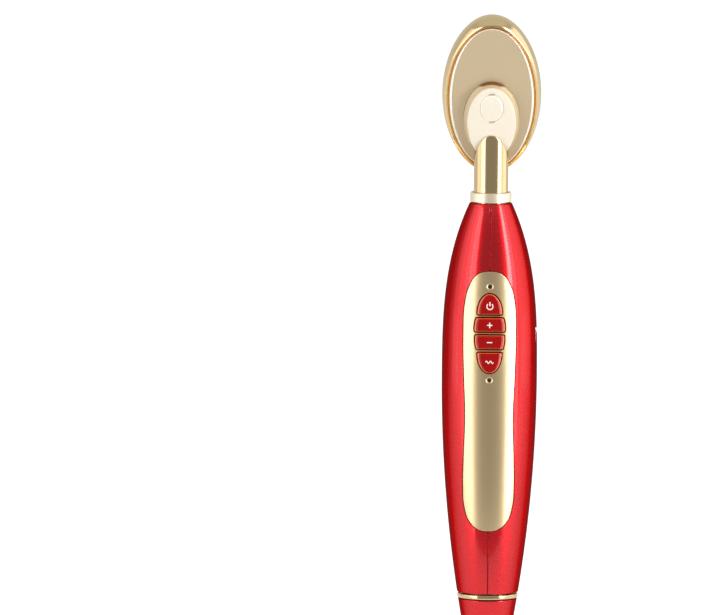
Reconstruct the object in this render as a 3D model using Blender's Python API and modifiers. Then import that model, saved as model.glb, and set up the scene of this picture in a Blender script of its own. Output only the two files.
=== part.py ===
"""Heated eye massager: a wand with a tapered body in two shells, a bent neck and an oval warm head.

Metres, +Z up along the handle, the control panel facing -Y. The origin is at the middle of the grip.
The head lies in its own frame: local X across it, local Y up its length, local Z out of its back.
"""
import math

import bmesh
import bpy

MM = 0.001
TURN = 2.0 * math.pi

# Fits that all pieces share
GAP = 0.3 * MM
OVERRUN = 2.0 * MM
ROOT = 0.5 * MM
MERGE = 0.00001

# Body shells
GRIP_RADIUS = 13.8 * MM
BODY_TOP = 50.3 * MM
BODY_BOTTOM = -63.0 * MM
NECK_TAPER = 7.7 * MM
TAIL_TAPER = 4.95 * MM
WALL = 2.2 * MM
NECK_LIP_BOTTOM = 45.0 * MM
BODY_RINGS = 8
INNER_RINGS = 4
BODY_STEPS = 38
RIB_THICKNESS = 1.2 * MM
MOTOR_RIB_BOTTOMS = (32.0 * MM, 38.0 * MM)
BATTERY_RIB_BOTTOMS = (-52.6 * MM, -24.0 * MM)

# Control panel, an inlay with a domed top, a waist and a rounder bottom
PANEL_TOP = 31.4 * MM
PANEL_LENGTH = 75.6 * MM
PANEL_HALF_WIDTH = 7.65 * MM
PANEL_THICKNESS = 1.0 * MM
PANEL_SHARES = (
    (0.50, 0.014), (0.78, 0.056), (0.945, 0.12), (1.0, 0.245), (0.975, 0.375), (0.91, 0.555),
    (0.95, 0.72), (0.965, 0.82), (0.90, 0.91), (0.70, 0.965), (0.38, 0.993),
)

# Buttons, from the top of the stack down
BUTTONS_TOP = 25.0 * MM
BUTTON_SPACING = 1.1 * MM
POWER_SIZE = (7.1 * MM, 5.9 * MM)
PLUS_SIZE = (9.1 * MM, 3.85 * MM)
MINUS_SIZE = (8.8 * MM, 3.95 * MM)
MODE_SIZE = (7.0 * MM, 5.9 * MM)
BUTTON_PROUD = 0.5 * MM
BUTTON_TRAVEL = 0.4 * MM
FLANGE_THICKNESS = 0.7 * MM
FLANGE_OVERLAP = 0.9 * MM
DOME_SIDE_SHARE = 0.04
BULGE_SHARE = 0.08
LEAN_SHARE = 0.1
ARC_POINTS = 7
NOSE_POINTS = 4

# Main board and what it carries
BOARD_TOP = 29.5 * MM
BOARD_BOTTOM = -4.5 * MM
BOARD_WIDTH = 13.2 * MM
BOARD_THICKNESS = 1.0 * MM
BOARD_FRONT = -5.7 * MM
SWITCH_SIDE = 4.4 * MM
SWITCH_HEIGHT = 1.5 * MM
STEM_RISE = 0.8 * MM
STEM_RADIUS = 1.0 * MM
CHIP_SIZE = (5.0 * MM, 1.1 * MM, 5.0 * MM)
CHIP_HEIGHT = 16.0 * MM
BOARD_SCREW_HEIGHTS = (-2.5 * MM, 27.5 * MM)
BOARD_SCREW_OFFSET = 4.8 * MM
BOARD_SCREW_SHANK = 0.6 * MM
BOARD_SCREW_HEAD = 1.2 * MM
BOARD_SCREW_HEAD_HEIGHT = 0.8 * MM
BOARD_SCREW_LENGTH = 3.4 * MM
BOSS_RADIUS = 1.5 * MM

# Indicator lights
LIGHT_HEIGHTS = (27.1 * MM, 0.0)
LIGHT_RADIUS = 0.6 * MM
LIGHT_SINK = 0.4 * MM
DIODE_SIZE = (1.6 * MM, 0.7 * MM, 1.0 * MM)

# Charging socket, its board and its hinged cover on the right side
SOCKET_HEIGHT = 7.0 * MM
SOCKET_SIZE = (5.6 * MM, 7.5 * MM, 2.6 * MM)
SOCKET_MOUTH = 10.4 * MM
SOCKET_WALL = 0.4 * MM
SOCKET_DEPTH = 4.6 * MM
TONGUE_THICKNESS = 0.6 * MM
CHARGE_BOARD_SIZE = (8.6 * MM, 8.8 * MM, 1.0 * MM)
LEDGE_WIDTH = 1.6 * MM
COVER_HALF_WIDTH = 6.6 * MM
COVER_BOTTOM = 2.9 * MM
COVER_SHOULDER = 6.9 * MM
COVER_CROWN = 11.0 * MM
COVER_CORNER = 1.6 * MM
COVER_THICKNESS = 1.2 * MM
COVER_NOTCH_RADIUS = 1.5 * MM
HINGE_RADIUS_OUT = 12.0 * MM
HINGE_HEIGHT = 12.2 * MM
HINGE_TAB_HALF_WIDTH = 3.1 * MM
HINGE_TAB_RISE = 1.1 * MM
KNUCKLE_RADIUS = 1.2 * MM
HINGE_PIN_RADIUS = 0.4 * MM
HINGE_PIN_HALF_LENGTH = 4.4 * MM
HINGE_POCKET_RADIUS = 2.5 * MM
PORT_HALF_WIDTH = 5.0 * MM
PORT_HALF_HEIGHT = 2.6 * MM

# Battery, its tube with the tail's neck, and the contacts
BATTERY_RADIUS = 5.25 * MM
BATTERY_BOTTOM = -62.5 * MM
BATTERY_LENGTH = 44.5 * MM
BATTERY_TIP_RADIUS = 1.9 * MM
BATTERY_TIP_HEIGHT = 1.2 * MM
TUBE_WALL = 0.65 * MM
TUBE_CAP = 1.0 * MM
TUBE_FLANGE_RADIUS = 7.9 * MM
CONTACT_RADIUS = 3.4 * MM
CONTACT_THICKNESS = 0.4 * MM
CONTACT_DIP = 0.6 * MM
TUBE_TOP = BATTERY_BOTTOM + BATTERY_LENGTH + GAP + CONTACT_DIP + CONTACT_THICKNESS + GAP + TUBE_CAP
SPRING_RADIUS = 3.6 * MM
SPRING_WIRE = 0.35 * MM
SPRING_TURNS = 4
SPRING_POINTS = 10

# Tail: ring, cap, threaded neck stood in for by plain cylinders, and seal
NECK_BOTTOM = -70.5 * MM
RING_TOP = -63.3 * MM
RING_BOTTOM = -64.6 * MM
RING_RADIUS = 8.8 * MM
RING_WALL = 1.2 * MM
CAP_BOTTOM = -86.0 * MM
CAP_ROUND = 3.0 * MM
CAP_FACE_RADIUS = 3.0 * MM
CAP_BORE_DEPTH = 6.6 * MM
CAP_WELL_RADIUS = 4.3 * MM
CAP_WELL_DEPTH = 9.0 * MM
SEAL_SECTION = 0.4 * MM

# Neck tube and collar
NECK_RADIUS = 5.0 * MM
NECK_BORE = 4.4 * MM
NECK_FOOT = 42.6 * MM
NECK_FLANGE_RADIUS = 5.9 * MM
NECK_FLANGE_HEIGHT = 2.1 * MM
COLLAR_RADIUS = 6.0 * MM
COLLAR_HEIGHT = 2.8 * MM
COLLAR_EDGE = 0.5 * MM
NECK_CUT_HEIGHT = 0.6 * MM

# Vibration motor
MOTOR_RADIUS = 3.5 * MM
MOTOR_BOTTOM = 29.9 * MM
MOTOR_LENGTH = 11.6 * MM
SHAFT_RADIUS = 0.5 * MM
SHAFT_LENGTH = 6.2 * MM
SHAFT_SINK = 1.6 * MM
WEIGHT_RADIUS = 2.7 * MM
WEIGHT_HEIGHT = 3.4 * MM
SLEEVE_WALL = 0.8 * MM
SLEEVE_BOTTOM = 31.2 * MM
SLEEVE_LENGTH = 9.0 * MM

# Head, an oval spoon leaning forward over the neck
HEAD_CROSSING = 67.6 * MM
HEAD_LEAN = math.radians(120.0)
HEAD_HALF_WIDTH = 14.35 * MM
HEAD_HALF_LENGTH = 26.8 * MM
HEAD_FOOT = 11.1 * MM
HEAD_CENTRE = HEAD_HALF_LENGTH - HEAD_FOOT
HEAD_STEPS = 34
RIM_DEPTH = 6.3 * MM
RIM_CREST = 0.3 * MM
RIM_CREST_SHARE = 0.65
RIM_SHARES = ((0.25, 0.12), (0.0, 0.4), (0.2, 0.7), (0.65, 0.92))
RIM_LAND = 1.4 * MM
LEDGE_LAND = 3.4 * MM
LEDGE_TOP = 2.1 * MM
LEDGE_BOTTOM = 4.3 * MM
TRIM_WIDTH = 0.4 * MM
BACK_THICKNESS = 1.8 * MM
BACK_BAND = 0.9 * MM
INLAY_DEPTH = 0.5 * MM
BOSS_CENTRE = 8.6 * MM
BOSS_HALF_WIDTH = 8.1 * MM
BOSS_HALF_LENGTH = 13.1 * MM
BOSS_HEIGHT = 2.75 * MM
BOSS_SHARES = ((0.0, 0.4), (0.025, 0.67), (0.1, 0.87), (0.235, 0.97), (0.5, 1.0))
SPIGOT_RADIUS = 4.1 * MM
SPIGOT_BOTTOM = 56.0 * MM
WIRE_BORE = 2.4 * MM
PLUG_CENTRE = 14.1 * MM
PLUG_HALF_WIDTH = 3.3 * MM
PLUG_HALF_LENGTH = 4.6 * MM
PLUG_THICKNESS = 1.0 * MM
PLUG_PROUD = 0.1 * MM
HEAD_SCREW_HEAD = 1.5 * MM
HEAD_SCREW_HEAD_HEIGHT = 0.8 * MM
HEAD_SCREW_SHANK = 0.7 * MM
HEAD_SCREW_LENGTH = 4.0 * MM
POST_RADIUS = 1.9 * MM
GASKET_HEIGHT = 0.4 * MM
DOME_HEIGHT = 2.0 * MM
DOME_SHARES = (0.96, 0.86, 0.7, 0.5, 0.25)
PLATE_RECESS = 0.9 * MM
FILM_THICKNESS = 0.3 * MM
PAD_THICKNESS = 1.3 * MM
SENSOR_RADIUS = 0.6 * MM
SENSOR_PLACE = (-4.5 * MM, 4.0 * MM)

# Leads
LEAD_RADIUS = 0.4 * MM
LEAD_SPAN_POINTS = 2
LEAD_NOTCH_HALF_WIDTH = 1.2 * MM
LEAD_NOTCH_REACH = 7.2 * MM


def clear_scene():
    """Empty the file, whatever it held."""
    for item in list(bpy.data.objects):
        bpy.data.objects.remove(item, do_unlink=True)
    for group in list(bpy.data.collections):
        bpy.data.collections.remove(group)


clear_scene()
PARTS = bpy.data.collections.new("heated_eye_massager")
CUTTERS = bpy.data.collections.new("cutters")
bpy.context.scene.collection.children.link(PARTS)
bpy.context.scene.collection.children.link(CUTTERS)


def material(name, colour, roughness, metallic=0.0):
    """A Principled material."""
    made = bpy.data.materials.new(name)
    made.use_nodes = True
    shader = made.node_tree.nodes["Principled BSDF"]
    shader.inputs["Base Color"].default_value = (*colour, 1.0)
    shader.inputs["Roughness"].default_value = roughness
    shader.inputs["Metallic"].default_value = metallic
    return made


RED = material("red_gloss", (0.48, 0.012, 0.016), 0.18, 0.35)
RED_CLEAR = material("red_clear", (0.36, 0.008, 0.01), 0.15)
GOLD = material("champagne_gold", (0.66, 0.5, 0.29), 0.22, 1.0)
SATIN = material("satin_champagne", (0.75, 0.66, 0.5), 0.4, 1.0)
ORANGE = material("orange_gold", (0.75, 0.33, 0.1), 0.3, 1.0)
CREAM = material("cream_plastic", (0.84, 0.76, 0.62), 0.3)
TAN = material("tan_plastic", (0.58, 0.46, 0.3), 0.4)
STEEL = material("steel", (0.6, 0.6, 0.6), 0.3, 1.0)
COPPER = material("copper_foil", (0.72, 0.34, 0.16), 0.35, 1.0)
BOARD = material("board_green", (0.03, 0.2, 0.08), 0.5)
BLACK = material("black_plastic", (0.02, 0.02, 0.02), 0.5)
RUBBER = material("grey_rubber", (0.12, 0.12, 0.12), 0.8)
FOAM = material("white_foam", (0.8, 0.8, 0.78), 0.9)
CLEAR = material("light_pipe", (0.85, 0.85, 0.85), 0.1)
WIRE = material("lead_red", (0.5, 0.03, 0.03), 0.5)


def place(name, data, finish, parent=None, location=(0.0, 0.0, 0.0), rotation=(0.0, 0.0, 0.0)):
    """Put a mesh or curve in the model as a part, or as a cutter where it has no finish."""
    made = bpy.data.objects.new(name, data)
    made.parent = parent
    made.location = location
    made.rotation_euler = rotation
    if finish is None:
        CUTTERS.objects.link(made)
        made.hide_render = True
        made.display_type = "WIRE"
    else:
        data.materials.append(finish)
        PARTS.objects.link(made)
    return made


def round_off(mesh):
    """Shade a mesh smooth, with its real edges sharp."""
    mesh.shade_smooth()
    mesh.set_sharp_from_angle(angle=math.radians(35.0))


def frame(name, parent=None, location=(0.0, 0.0, 0.0), rotation=(0.0, 0.0, 0.0)):
    """An empty that carries pieces."""
    made = bpy.data.objects.new(name, None)
    made.parent = parent
    made.location = location
    made.rotation_euler = rotation
    CUTTERS.objects.link(made)
    return made


def turned(name, profile, finish, steps=BODY_STEPS, **where):
    """A turned piece: its closed outline, or its outline from axis to axis, goes down the outer side."""
    mesh = bpy.data.meshes.new(name)
    count = len(profile)
    closed = profile[0][0] > MERGE or profile[-1][0] > MERGE
    edges = [(index, (index + 1) % count) for index in range(count if closed else count - 1)]
    mesh.from_pydata([(radius, 0.0, height) for radius, height in profile], edges, [])
    made = place(name, mesh, finish, **where)
    screw = made.modifiers.new("turn", "SCREW")
    screw.angle = TURN
    screw.steps = steps
    screw.render_steps = steps
    screw.use_merge_vertices = True
    screw.merge_threshold = MERGE
    screw.use_smooth_shade = True
    return made


def cylinder(name, radius, bottom, top, finish, steps=24, **where):
    """A plain cylinder about its local Z axis."""
    profile = [(0.0, top), (radius, top), (radius, bottom), (0.0, bottom)]
    return turned(name, profile, finish, steps, **where)


def tube(name, bore, radius, bottom, top, finish, steps=32, **where):
    """A ring or tube about its local Z axis."""
    profile = [(radius, top), (radius, bottom), (bore, bottom), (bore, top)]
    return turned(name, profile, finish, steps, **where)


def box(name, low, high, finish, **where):
    """A box between two corners in its own frame."""
    shape = bmesh.new()
    bmesh.ops.create_cube(shape, size=1.0)
    for point in shape.verts:
        for axis in range(3):
            middle = 0.5 * (low[axis] + high[axis])
            point.co[axis] = middle + point.co[axis] * (high[axis] - low[axis])
    mesh = bpy.data.meshes.new(name)
    shape.to_mesh(mesh)
    shape.free()
    return place(name, mesh, finish, **where)


def outline_mesh(name, points, back, front, smooth=False):
    """A flat outline in XY made solid from Z back to Z front, its caps welded on."""
    curve = bpy.data.curves.new(name, "CURVE")
    curve.dimensions = "2D"
    curve.fill_mode = "BOTH"
    curve.extrude = 0.5 * (front - back)
    curve.resolution_u = 3
    curve.render_resolution_u = 3
    spline = curve.splines.new("BEZIER" if smooth else "POLY")
    if smooth:
        spline.bezier_points.add(len(points) - 1)
        for knot, (across, along) in zip(spline.bezier_points, points):
            knot.co = (across, along, 0.0)
            knot.handle_left_type = "AUTO"
            knot.handle_right_type = "AUTO"
    else:
        spline.points.add(len(points) - 1)
        for knot, (across, along) in zip(spline.points, points):
            knot.co = (across, along, 0.0, 1.0)
    spline.use_cyclic_u = True
    drawn = bpy.data.objects.new(name + "_outline", curve)
    CUTTERS.objects.link(drawn)
    bpy.context.view_layer.update()
    seen = drawn.evaluated_get(bpy.context.evaluated_depsgraph_get())
    mesh = bpy.data.meshes.new_from_object(seen)
    bpy.data.objects.remove(drawn)
    shape = bmesh.new()
    shape.from_mesh(mesh)
    bmesh.ops.remove_doubles(shape, verts=shape.verts, dist=MERGE)
    bmesh.ops.translate(shape, verts=shape.verts, vec=(0.0, 0.0, 0.5 * (front + back)))
    shape.to_mesh(mesh)
    shape.free()
    mesh.name = name
    return mesh


def boolean(made, other, operation):
    """Add one Boolean to a piece; the other solid is a cutter."""
    step = made.modifiers.new(operation.lower() + "_" + other.name, "BOOLEAN")
    step.operation = operation
    step.solver = "EXACT"
    step.object = other
    return made


def cut(made, other):
    """Take another solid out of a piece."""
    return boolean(made, other, "DIFFERENCE")


def join(made, other):
    """Mould another solid onto a piece."""
    return boolean(made, other, "UNION")


def keep(made, other):
    """Keep only what a piece shares with another solid."""
    return boolean(made, other, "INTERSECT")


def lead(name, route, finish):
    """An insulated lead along a smooth curve through the points of its route."""
    curve = bpy.data.curves.new(name, "CURVE")
    curve.dimensions = "3D"
    curve.bevel_depth = LEAD_RADIUS
    curve.bevel_resolution = 2
    curve.use_fill_caps = True
    points = smooth_points(route)
    spline = curve.splines.new("POLY")
    spline.points.add(len(points) - 1)
    for knot, point in zip(spline.points, points):
        knot.co = (*point, 1.0)
    return place(name, curve, finish)


def smooth_points(route):
    """Points along a Catmull-Rom curve through a route given in millimetres."""
    knots = [[value * MM for value in point] for point in route]
    padded = [knots[0], *knots, knots[-1]]
    points = []
    for index in range(1, len(padded) - 2):
        before, start, end, after = padded[index - 1:index + 3]
        for step in range(LEAD_SPAN_POINTS):
            t = step / LEAD_SPAN_POINTS
            points.append([
                0.5 * (2.0 * b + (c - a) * t + (2.0 * a - 5.0 * b + 4.0 * c - d) * t * t
                       + (3.0 * b - a - 3.0 * c + d) * t ** 3)
                for a, b, c, d in zip(before, start, end, after)
            ])
    points.append(knots[-1])
    return points


def body_radius(height):
    """The handle's outer radius: fullest at the grip, slimmer to the neck and to the tail."""
    if height > 0.0:
        return GRIP_RADIUS - NECK_TAPER * (height / BODY_TOP) ** 3
    return GRIP_RADIUS - TAIL_TAPER * (height / BODY_BOTTOM) ** 2


def body_skin(top, bottom, depth, rings=BODY_RINGS):
    """Points down the handle's surface, or at a depth under it."""
    step = (bottom - top) / rings
    heights = [top + index * step for index in range(rings + 1)]
    return [(body_radius(height) - depth, height) for height in heights]


def ribbed(points, ribs):
    """Points up the inner side with a square rib at each height."""
    out = []
    waiting = sorted(ribs)
    for radius, height in points:
        while waiting and waiting[0][0] < height:
            bottom, bore = waiting.pop(0)
            top = bottom + RIB_THICKNESS
            out += [(body_radius(bottom) - WALL, bottom), (bore, bottom)]
            out += [(bore, top), (body_radius(top) - WALL, top)]
        out.append((radius, height))
    return out


def shell_profile():
    """The closed outline of the handle's wall, with the ribs that carry the motor and the battery."""
    outer = body_skin(BODY_TOP, 0.0, 0.0) + body_skin(0.0, BODY_BOTTOM, 0.0)[1:]
    lower = body_skin(BODY_BOTTOM, 0.0, WALL, INNER_RINGS)
    upper = body_skin(0.0, NECK_LIP_BOTTOM, WALL, INNER_RINGS)[1:]
    sleeve = MOTOR_RADIUS + GAP + SLEEVE_WALL + GAP
    ribs = [(bottom, sleeve) for bottom in MOTOR_RIB_BOTTOMS]
    ribs += [(bottom, BATTERY_RADIUS + 2.0 * GAP + TUBE_WALL) for bottom in BATTERY_RIB_BOTTOMS]
    lip = [(NECK_RADIUS + GAP, NECK_LIP_BOTTOM), (NECK_RADIUS + GAP, BODY_TOP)]
    return outer + ribbed(lower + upper, ribs) + lip


def band(name, above, below):
    """A cutter that holds the handle's skin from one height over it to one depth under it."""
    top = BODY_TOP - OVERRUN
    bottom = BODY_BOTTOM + OVERRUN
    outer = body_skin(top, bottom, -above, BODY_RINGS)
    inner = body_skin(bottom, top, below, BODY_RINGS)
    return turned(name, outer + inner, None, BODY_STEPS)


LEAD_NOTCH = box(
    "lead_notch", (-LEAD_NOTCH_HALF_WIDTH, NECK_BORE, MOTOR_RIB_BOTTOMS[0] - GAP),
    (LEAD_NOTCH_HALF_WIDTH, LEAD_NOTCH_REACH, MOTOR_RIB_BOTTOMS[1] + RIB_THICKNESS + GAP), None)
FACING_FRONT = (0.5 * math.pi, 0.0, 0.0)
FACING_RIGHT = (0.5 * math.pi, 0.0, 0.5 * math.pi)
PROUD_RADIUS = GRIP_RADIUS + OVERRUN


def panel_outline(grow):
    """The panel's outline in X and Z, from its top centre round, larger by a clearance."""
    side = []
    for width, down in PANEL_SHARES:
        side.append((width * PANEL_HALF_WIDTH + grow, PANEL_TOP + grow - down * (PANEL_LENGTH + 2.0 * grow)))
    top = [(0.0, PANEL_TOP + grow)]
    bottom = [(0.0, PANEL_TOP - PANEL_LENGTH - grow)]
    return top + side + bottom + [(-across, along) for across, along in reversed(side)]


def arc(centre, radii, start, end, points=ARC_POINTS):
    """Points along part of an ellipse, its angles in turns."""
    angles = [TURN * (start + (end - start) * index / (points - 1)) for index in range(points)]
    return [(centre[0] + radii[0] * math.cos(angle), centre[1] + radii[1] * math.sin(angle)) for angle in angles]


def dome_outline(size, grow, way):
    """A button with one straight edge and one domed edge; way is 1 with the dome up, -1 with it down."""
    half_width = 0.5 * size[0] + grow
    half_height = 0.5 * size[1] + grow
    shoulder = (2.0 * DOME_SIDE_SHARE - 1.0) * half_height
    points = [(half_width, -half_height)]
    points += arc((0.0, shoulder), (half_width, half_height - shoulder), 0.0, 0.5)
    points += [(-half_width, -half_height)]
    return [(across, way * along) for across, along in points]


def bulged_outline(size, grow, way):
    """A wide button whose short sides bulge a little; way is 1 with its narrower edge up, -1 with it down."""
    half_width = 0.5 * size[0] + grow
    half_height = 0.5 * size[1] + grow
    bulge = BULGE_SHARE * half_width
    right = arc((half_width - bulge, 0.0), (bulge, half_height), -0.25, 0.25)
    points = right + [(-across, -along) for across, along in right]
    return [(across * (1.0 - 0.5 * LEAN_SHARE * (1.0 + way * along / half_height)), along) for across, along in points]


def button_stack():
    """Name, size, outline and middle height of each button, from the top down."""
    edge = BUTTONS_TOP
    rows = []
    for name, size in (("power", POWER_SIZE), ("plus", PLUS_SIZE), ("minus", MINUS_SIZE), ("mode", MODE_SIZE)):
        rows.append((name, size, edge - 0.5 * size[1]))
        edge -= size[1] + BUTTON_SPACING
    return rows


def button_outline(name, size, grow):
    """The outline of one button about its own middle."""
    if name == "power":
        return dome_outline(size, grow, 1.0)
    if name == "mode":
        return dome_outline(size, grow, -1.0)
    return bulged_outline(size, grow, 1.0 if name == "plus" else -1.0)


def front_cutter(name, points, depth, height=0.0):
    """A cutter that runs in from the front to a depth in Y."""
    mesh = outline_mesh(name, points, -depth, PROUD_RADIUS)
    return place(name, mesh, None, location=(0.0, 0.0, height), rotation=FACING_FRONT)


PANEL_BAND = band("panel_band", 0.0, PANEL_THICKNESS)
RECESS_BAND = band("recess_band", OVERRUN, PANEL_THICKNESS + GAP)
COVER_BAND = band("cover_band", 0.0, COVER_THICKNESS)
COVER_RECESS_BAND = band("cover_recess_band", OVERRUN, COVER_THICKNESS + GAP)
BUTTON_ENVELOPE = turned(
    "button_envelope",
    [(0.0, BODY_TOP), *body_skin(BODY_TOP, BODY_BOTTOM, -BUTTON_PROUD, BODY_RINGS), (0.0, BODY_BOTTOM)],
    None, BODY_STEPS)

PANEL_RECESS = place(
    "panel_recess", outline_mesh("panel_recess", panel_outline(GAP), 0.0, PROUD_RADIUS, True), None,
    rotation=FACING_FRONT)
keep(PANEL_RECESS, RECESS_BAND)

BUTTON_WINDOWS = [
    front_cutter(name + "_window", button_outline(name, size, GAP), 0.0, height)
    for name, size, height in button_stack()
]
LIGHT_WINDOWS = [
    cylinder(f"light_window_{index}", LIGHT_RADIUS + GAP, 0.0, PROUD_RADIUS, None, 16,
             location=(0.0, 0.0, height), rotation=FACING_FRONT)
    for index, height in enumerate(LIGHT_HEIGHTS)
]


def cover_outline(grow):
    """The socket cover in Y and Z about the hinge, with a domed top and a tab up to its hinge."""
    half = COVER_HALF_WIDTH + grow
    tab = HINGE_TAB_HALF_WIDTH + grow
    bottom = COVER_BOTTOM - grow - HINGE_HEIGHT
    shoulder = COVER_SHOULDER - HINGE_HEIGHT
    crown = COVER_CROWN + grow - HINGE_HEIGHT
    corner = COVER_CORNER
    lean = math.acos(tab / half) / TURN
    right = arc((half - corner, bottom + corner), (corner, corner), -0.25, 0.0)
    right += arc((0.0, shoulder), (half, crown - shoulder), 0.0, lean)
    right += [(tab, HINGE_TAB_RISE + grow)]
    return right + [(-across, along) for across, along in reversed(right)]


HINGE = frame("socket_hinge", location=(HINGE_RADIUS_OUT, 0.0, HINGE_HEIGHT))

COVER_RECESS = place(
    "cover_recess", outline_mesh("cover_recess", cover_outline(GAP), -HINGE_RADIUS_OUT, OVERRUN + WALL), None,
    parent=HINGE, rotation=FACING_RIGHT)
keep(COVER_RECESS, COVER_RECESS_BAND)
HINGE_POCKET = cylinder(
    "hinge_pocket", HINGE_POCKET_RADIUS, -HINGE_TAB_HALF_WIDTH - GAP, HINGE_TAB_HALF_WIDTH + GAP, None,
    parent=HINGE, rotation=FACING_FRONT)
PIN_HOLE = cylinder(
    "hinge_pin_hole", HINGE_PIN_RADIUS + 0.5 * GAP, -HINGE_PIN_HALF_LENGTH - GAP,
    HINGE_PIN_HALF_LENGTH + GAP, None, 16, parent=HINGE, rotation=FACING_FRONT)
PORT = box(
    "port_opening", (SOCKET_MOUTH - OVERRUN, -PORT_HALF_WIDTH, SOCKET_HEIGHT - PORT_HALF_HEIGHT),
    (PROUD_RADIUS, PORT_HALF_WIDTH, SOCKET_HEIGHT + PORT_HALF_HEIGHT), None)


def shell_half(name, side):
    """One half of the handle, cut at the seam, with its bosses and windows."""
    shell = turned(name, shell_profile(), RED)
    far = side * 0.5 * GAP
    reach = -side * PROUD_RADIUS
    other_half = box(
        name + "_other_half", (min(far, reach), -PROUD_RADIUS, BODY_BOTTOM - OVERRUN),
        (max(far, reach), PROUD_RADIUS, BODY_TOP + OVERRUN), None)
    cut(shell, other_half)
    for index, height in enumerate(BOARD_SCREW_HEIGHTS):
        inner = body_radius(height) - WALL
        foot = math.sqrt(inner ** 2 - BOARD_SCREW_OFFSET ** 2) + ROOT
        across = side * BOARD_SCREW_OFFSET
        where = {"location": (across, 0.0, height), "rotation": FACING_FRONT}
        join(shell, cylinder(f"{name}_boss_{index}", BOSS_RADIUS, -BOARD_FRONT + GAP, foot, None, 16, **where))
        cut(shell, cylinder(
            f"{name}_boss_bore_{index}", BOARD_SCREW_SHANK + GAP, -BOARD_FRONT, foot - ROOT, None, 12, **where))
    cut(shell, PANEL_RECESS)
    for window in BUTTON_WINDOWS + LIGHT_WINDOWS:
        cut(shell, window)
    cut(shell, LEAD_NOTCH)
    return shell


def build_shells():
    """The two halves; the right one also takes the charging socket, its cover and its board."""
    shell_half("left_shell", -1.0)
    right = shell_half("right_shell", 1.0)
    for index, side in enumerate((-1.0, 1.0)):
        edge = side * 0.5 * CHARGE_BOARD_SIZE[1]
        inner = edge - side * LEDGE_WIDTH
        top = SOCKET_HEIGHT - 0.5 * SOCKET_SIZE[2] - GAP - CHARGE_BOARD_SIZE[2] - GAP
        reach = math.sqrt((GRIP_RADIUS - WALL) ** 2 - edge ** 2) + ROOT
        join(right, box(
            f"charge_ledge_{index}", (reach - 2.0 * LEDGE_WIDTH, min(edge, inner), top - RIB_THICKNESS),
            (reach, max(edge, inner), top), None))
    cut(right, COVER_RECESS)
    cut(right, HINGE_POCKET)
    cut(right, PIN_HOLE)
    cut(right, PORT)


def build_panel():
    """The gold panel with its small nub at the foot, open for buttons and lights."""
    mesh = outline_mesh("control_panel", panel_outline(0.0), 0.0, PROUD_RADIUS, True)
    panel = place("control_panel", mesh, GOLD, rotation=FACING_FRONT)
    keep(panel, PANEL_BAND)
    for window in BUTTON_WINDOWS + LIGHT_WINDOWS:
        cut(panel, window)


def build_buttons():
    """Each button cap with its retaining flange, its switch stem and its switch."""
    switch_foot = GAP - BOARD_FRONT
    switch_top = switch_foot + SWITCH_HEIGHT
    stem_top = switch_top + STEM_RISE
    flange_foot = stem_top + GAP
    for name, size, height in button_stack():
        mesh = outline_mesh(name + "_button", button_outline(name, size, 0.0), flange_foot, PROUD_RADIUS)
        button = place(name + "_button", mesh, RED_CLEAR, location=(0.0, 0.0, height), rotation=FACING_FRONT)
        keep(button, BUTTON_ENVELOPE)
        wide = 0.5 * size[0] + FLANGE_OVERLAP
        flange = box(
            name + "_flange", (-wide, -flange_foot - FLANGE_THICKNESS, height - 0.5 * size[1] + GAP),
            (wide, -flange_foot, height + 0.5 * size[1] - GAP), None)
        join(button, flange)
        where = {"location": (0.0, 0.0, height), "rotation": FACING_FRONT}
        cylinder(name + "_stem", STEM_RADIUS, switch_foot + BUTTON_TRAVEL + GAP, stem_top, BLACK, 16, **where)
        half = 0.5 * min(SWITCH_SIDE, size[1] - GAP)
        switch = box(
            name + "_switch", (-0.5 * SWITCH_SIDE, -half, switch_foot),
            (0.5 * SWITCH_SIDE, half, switch_top), STEEL, **where)
        bore = cylinder(
            name + "_switch_bore", STEM_RADIUS + GAP, -BOARD_FRONT, switch_top + OVERRUN, None, 16, **where)
        cut(switch, bore)


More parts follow.
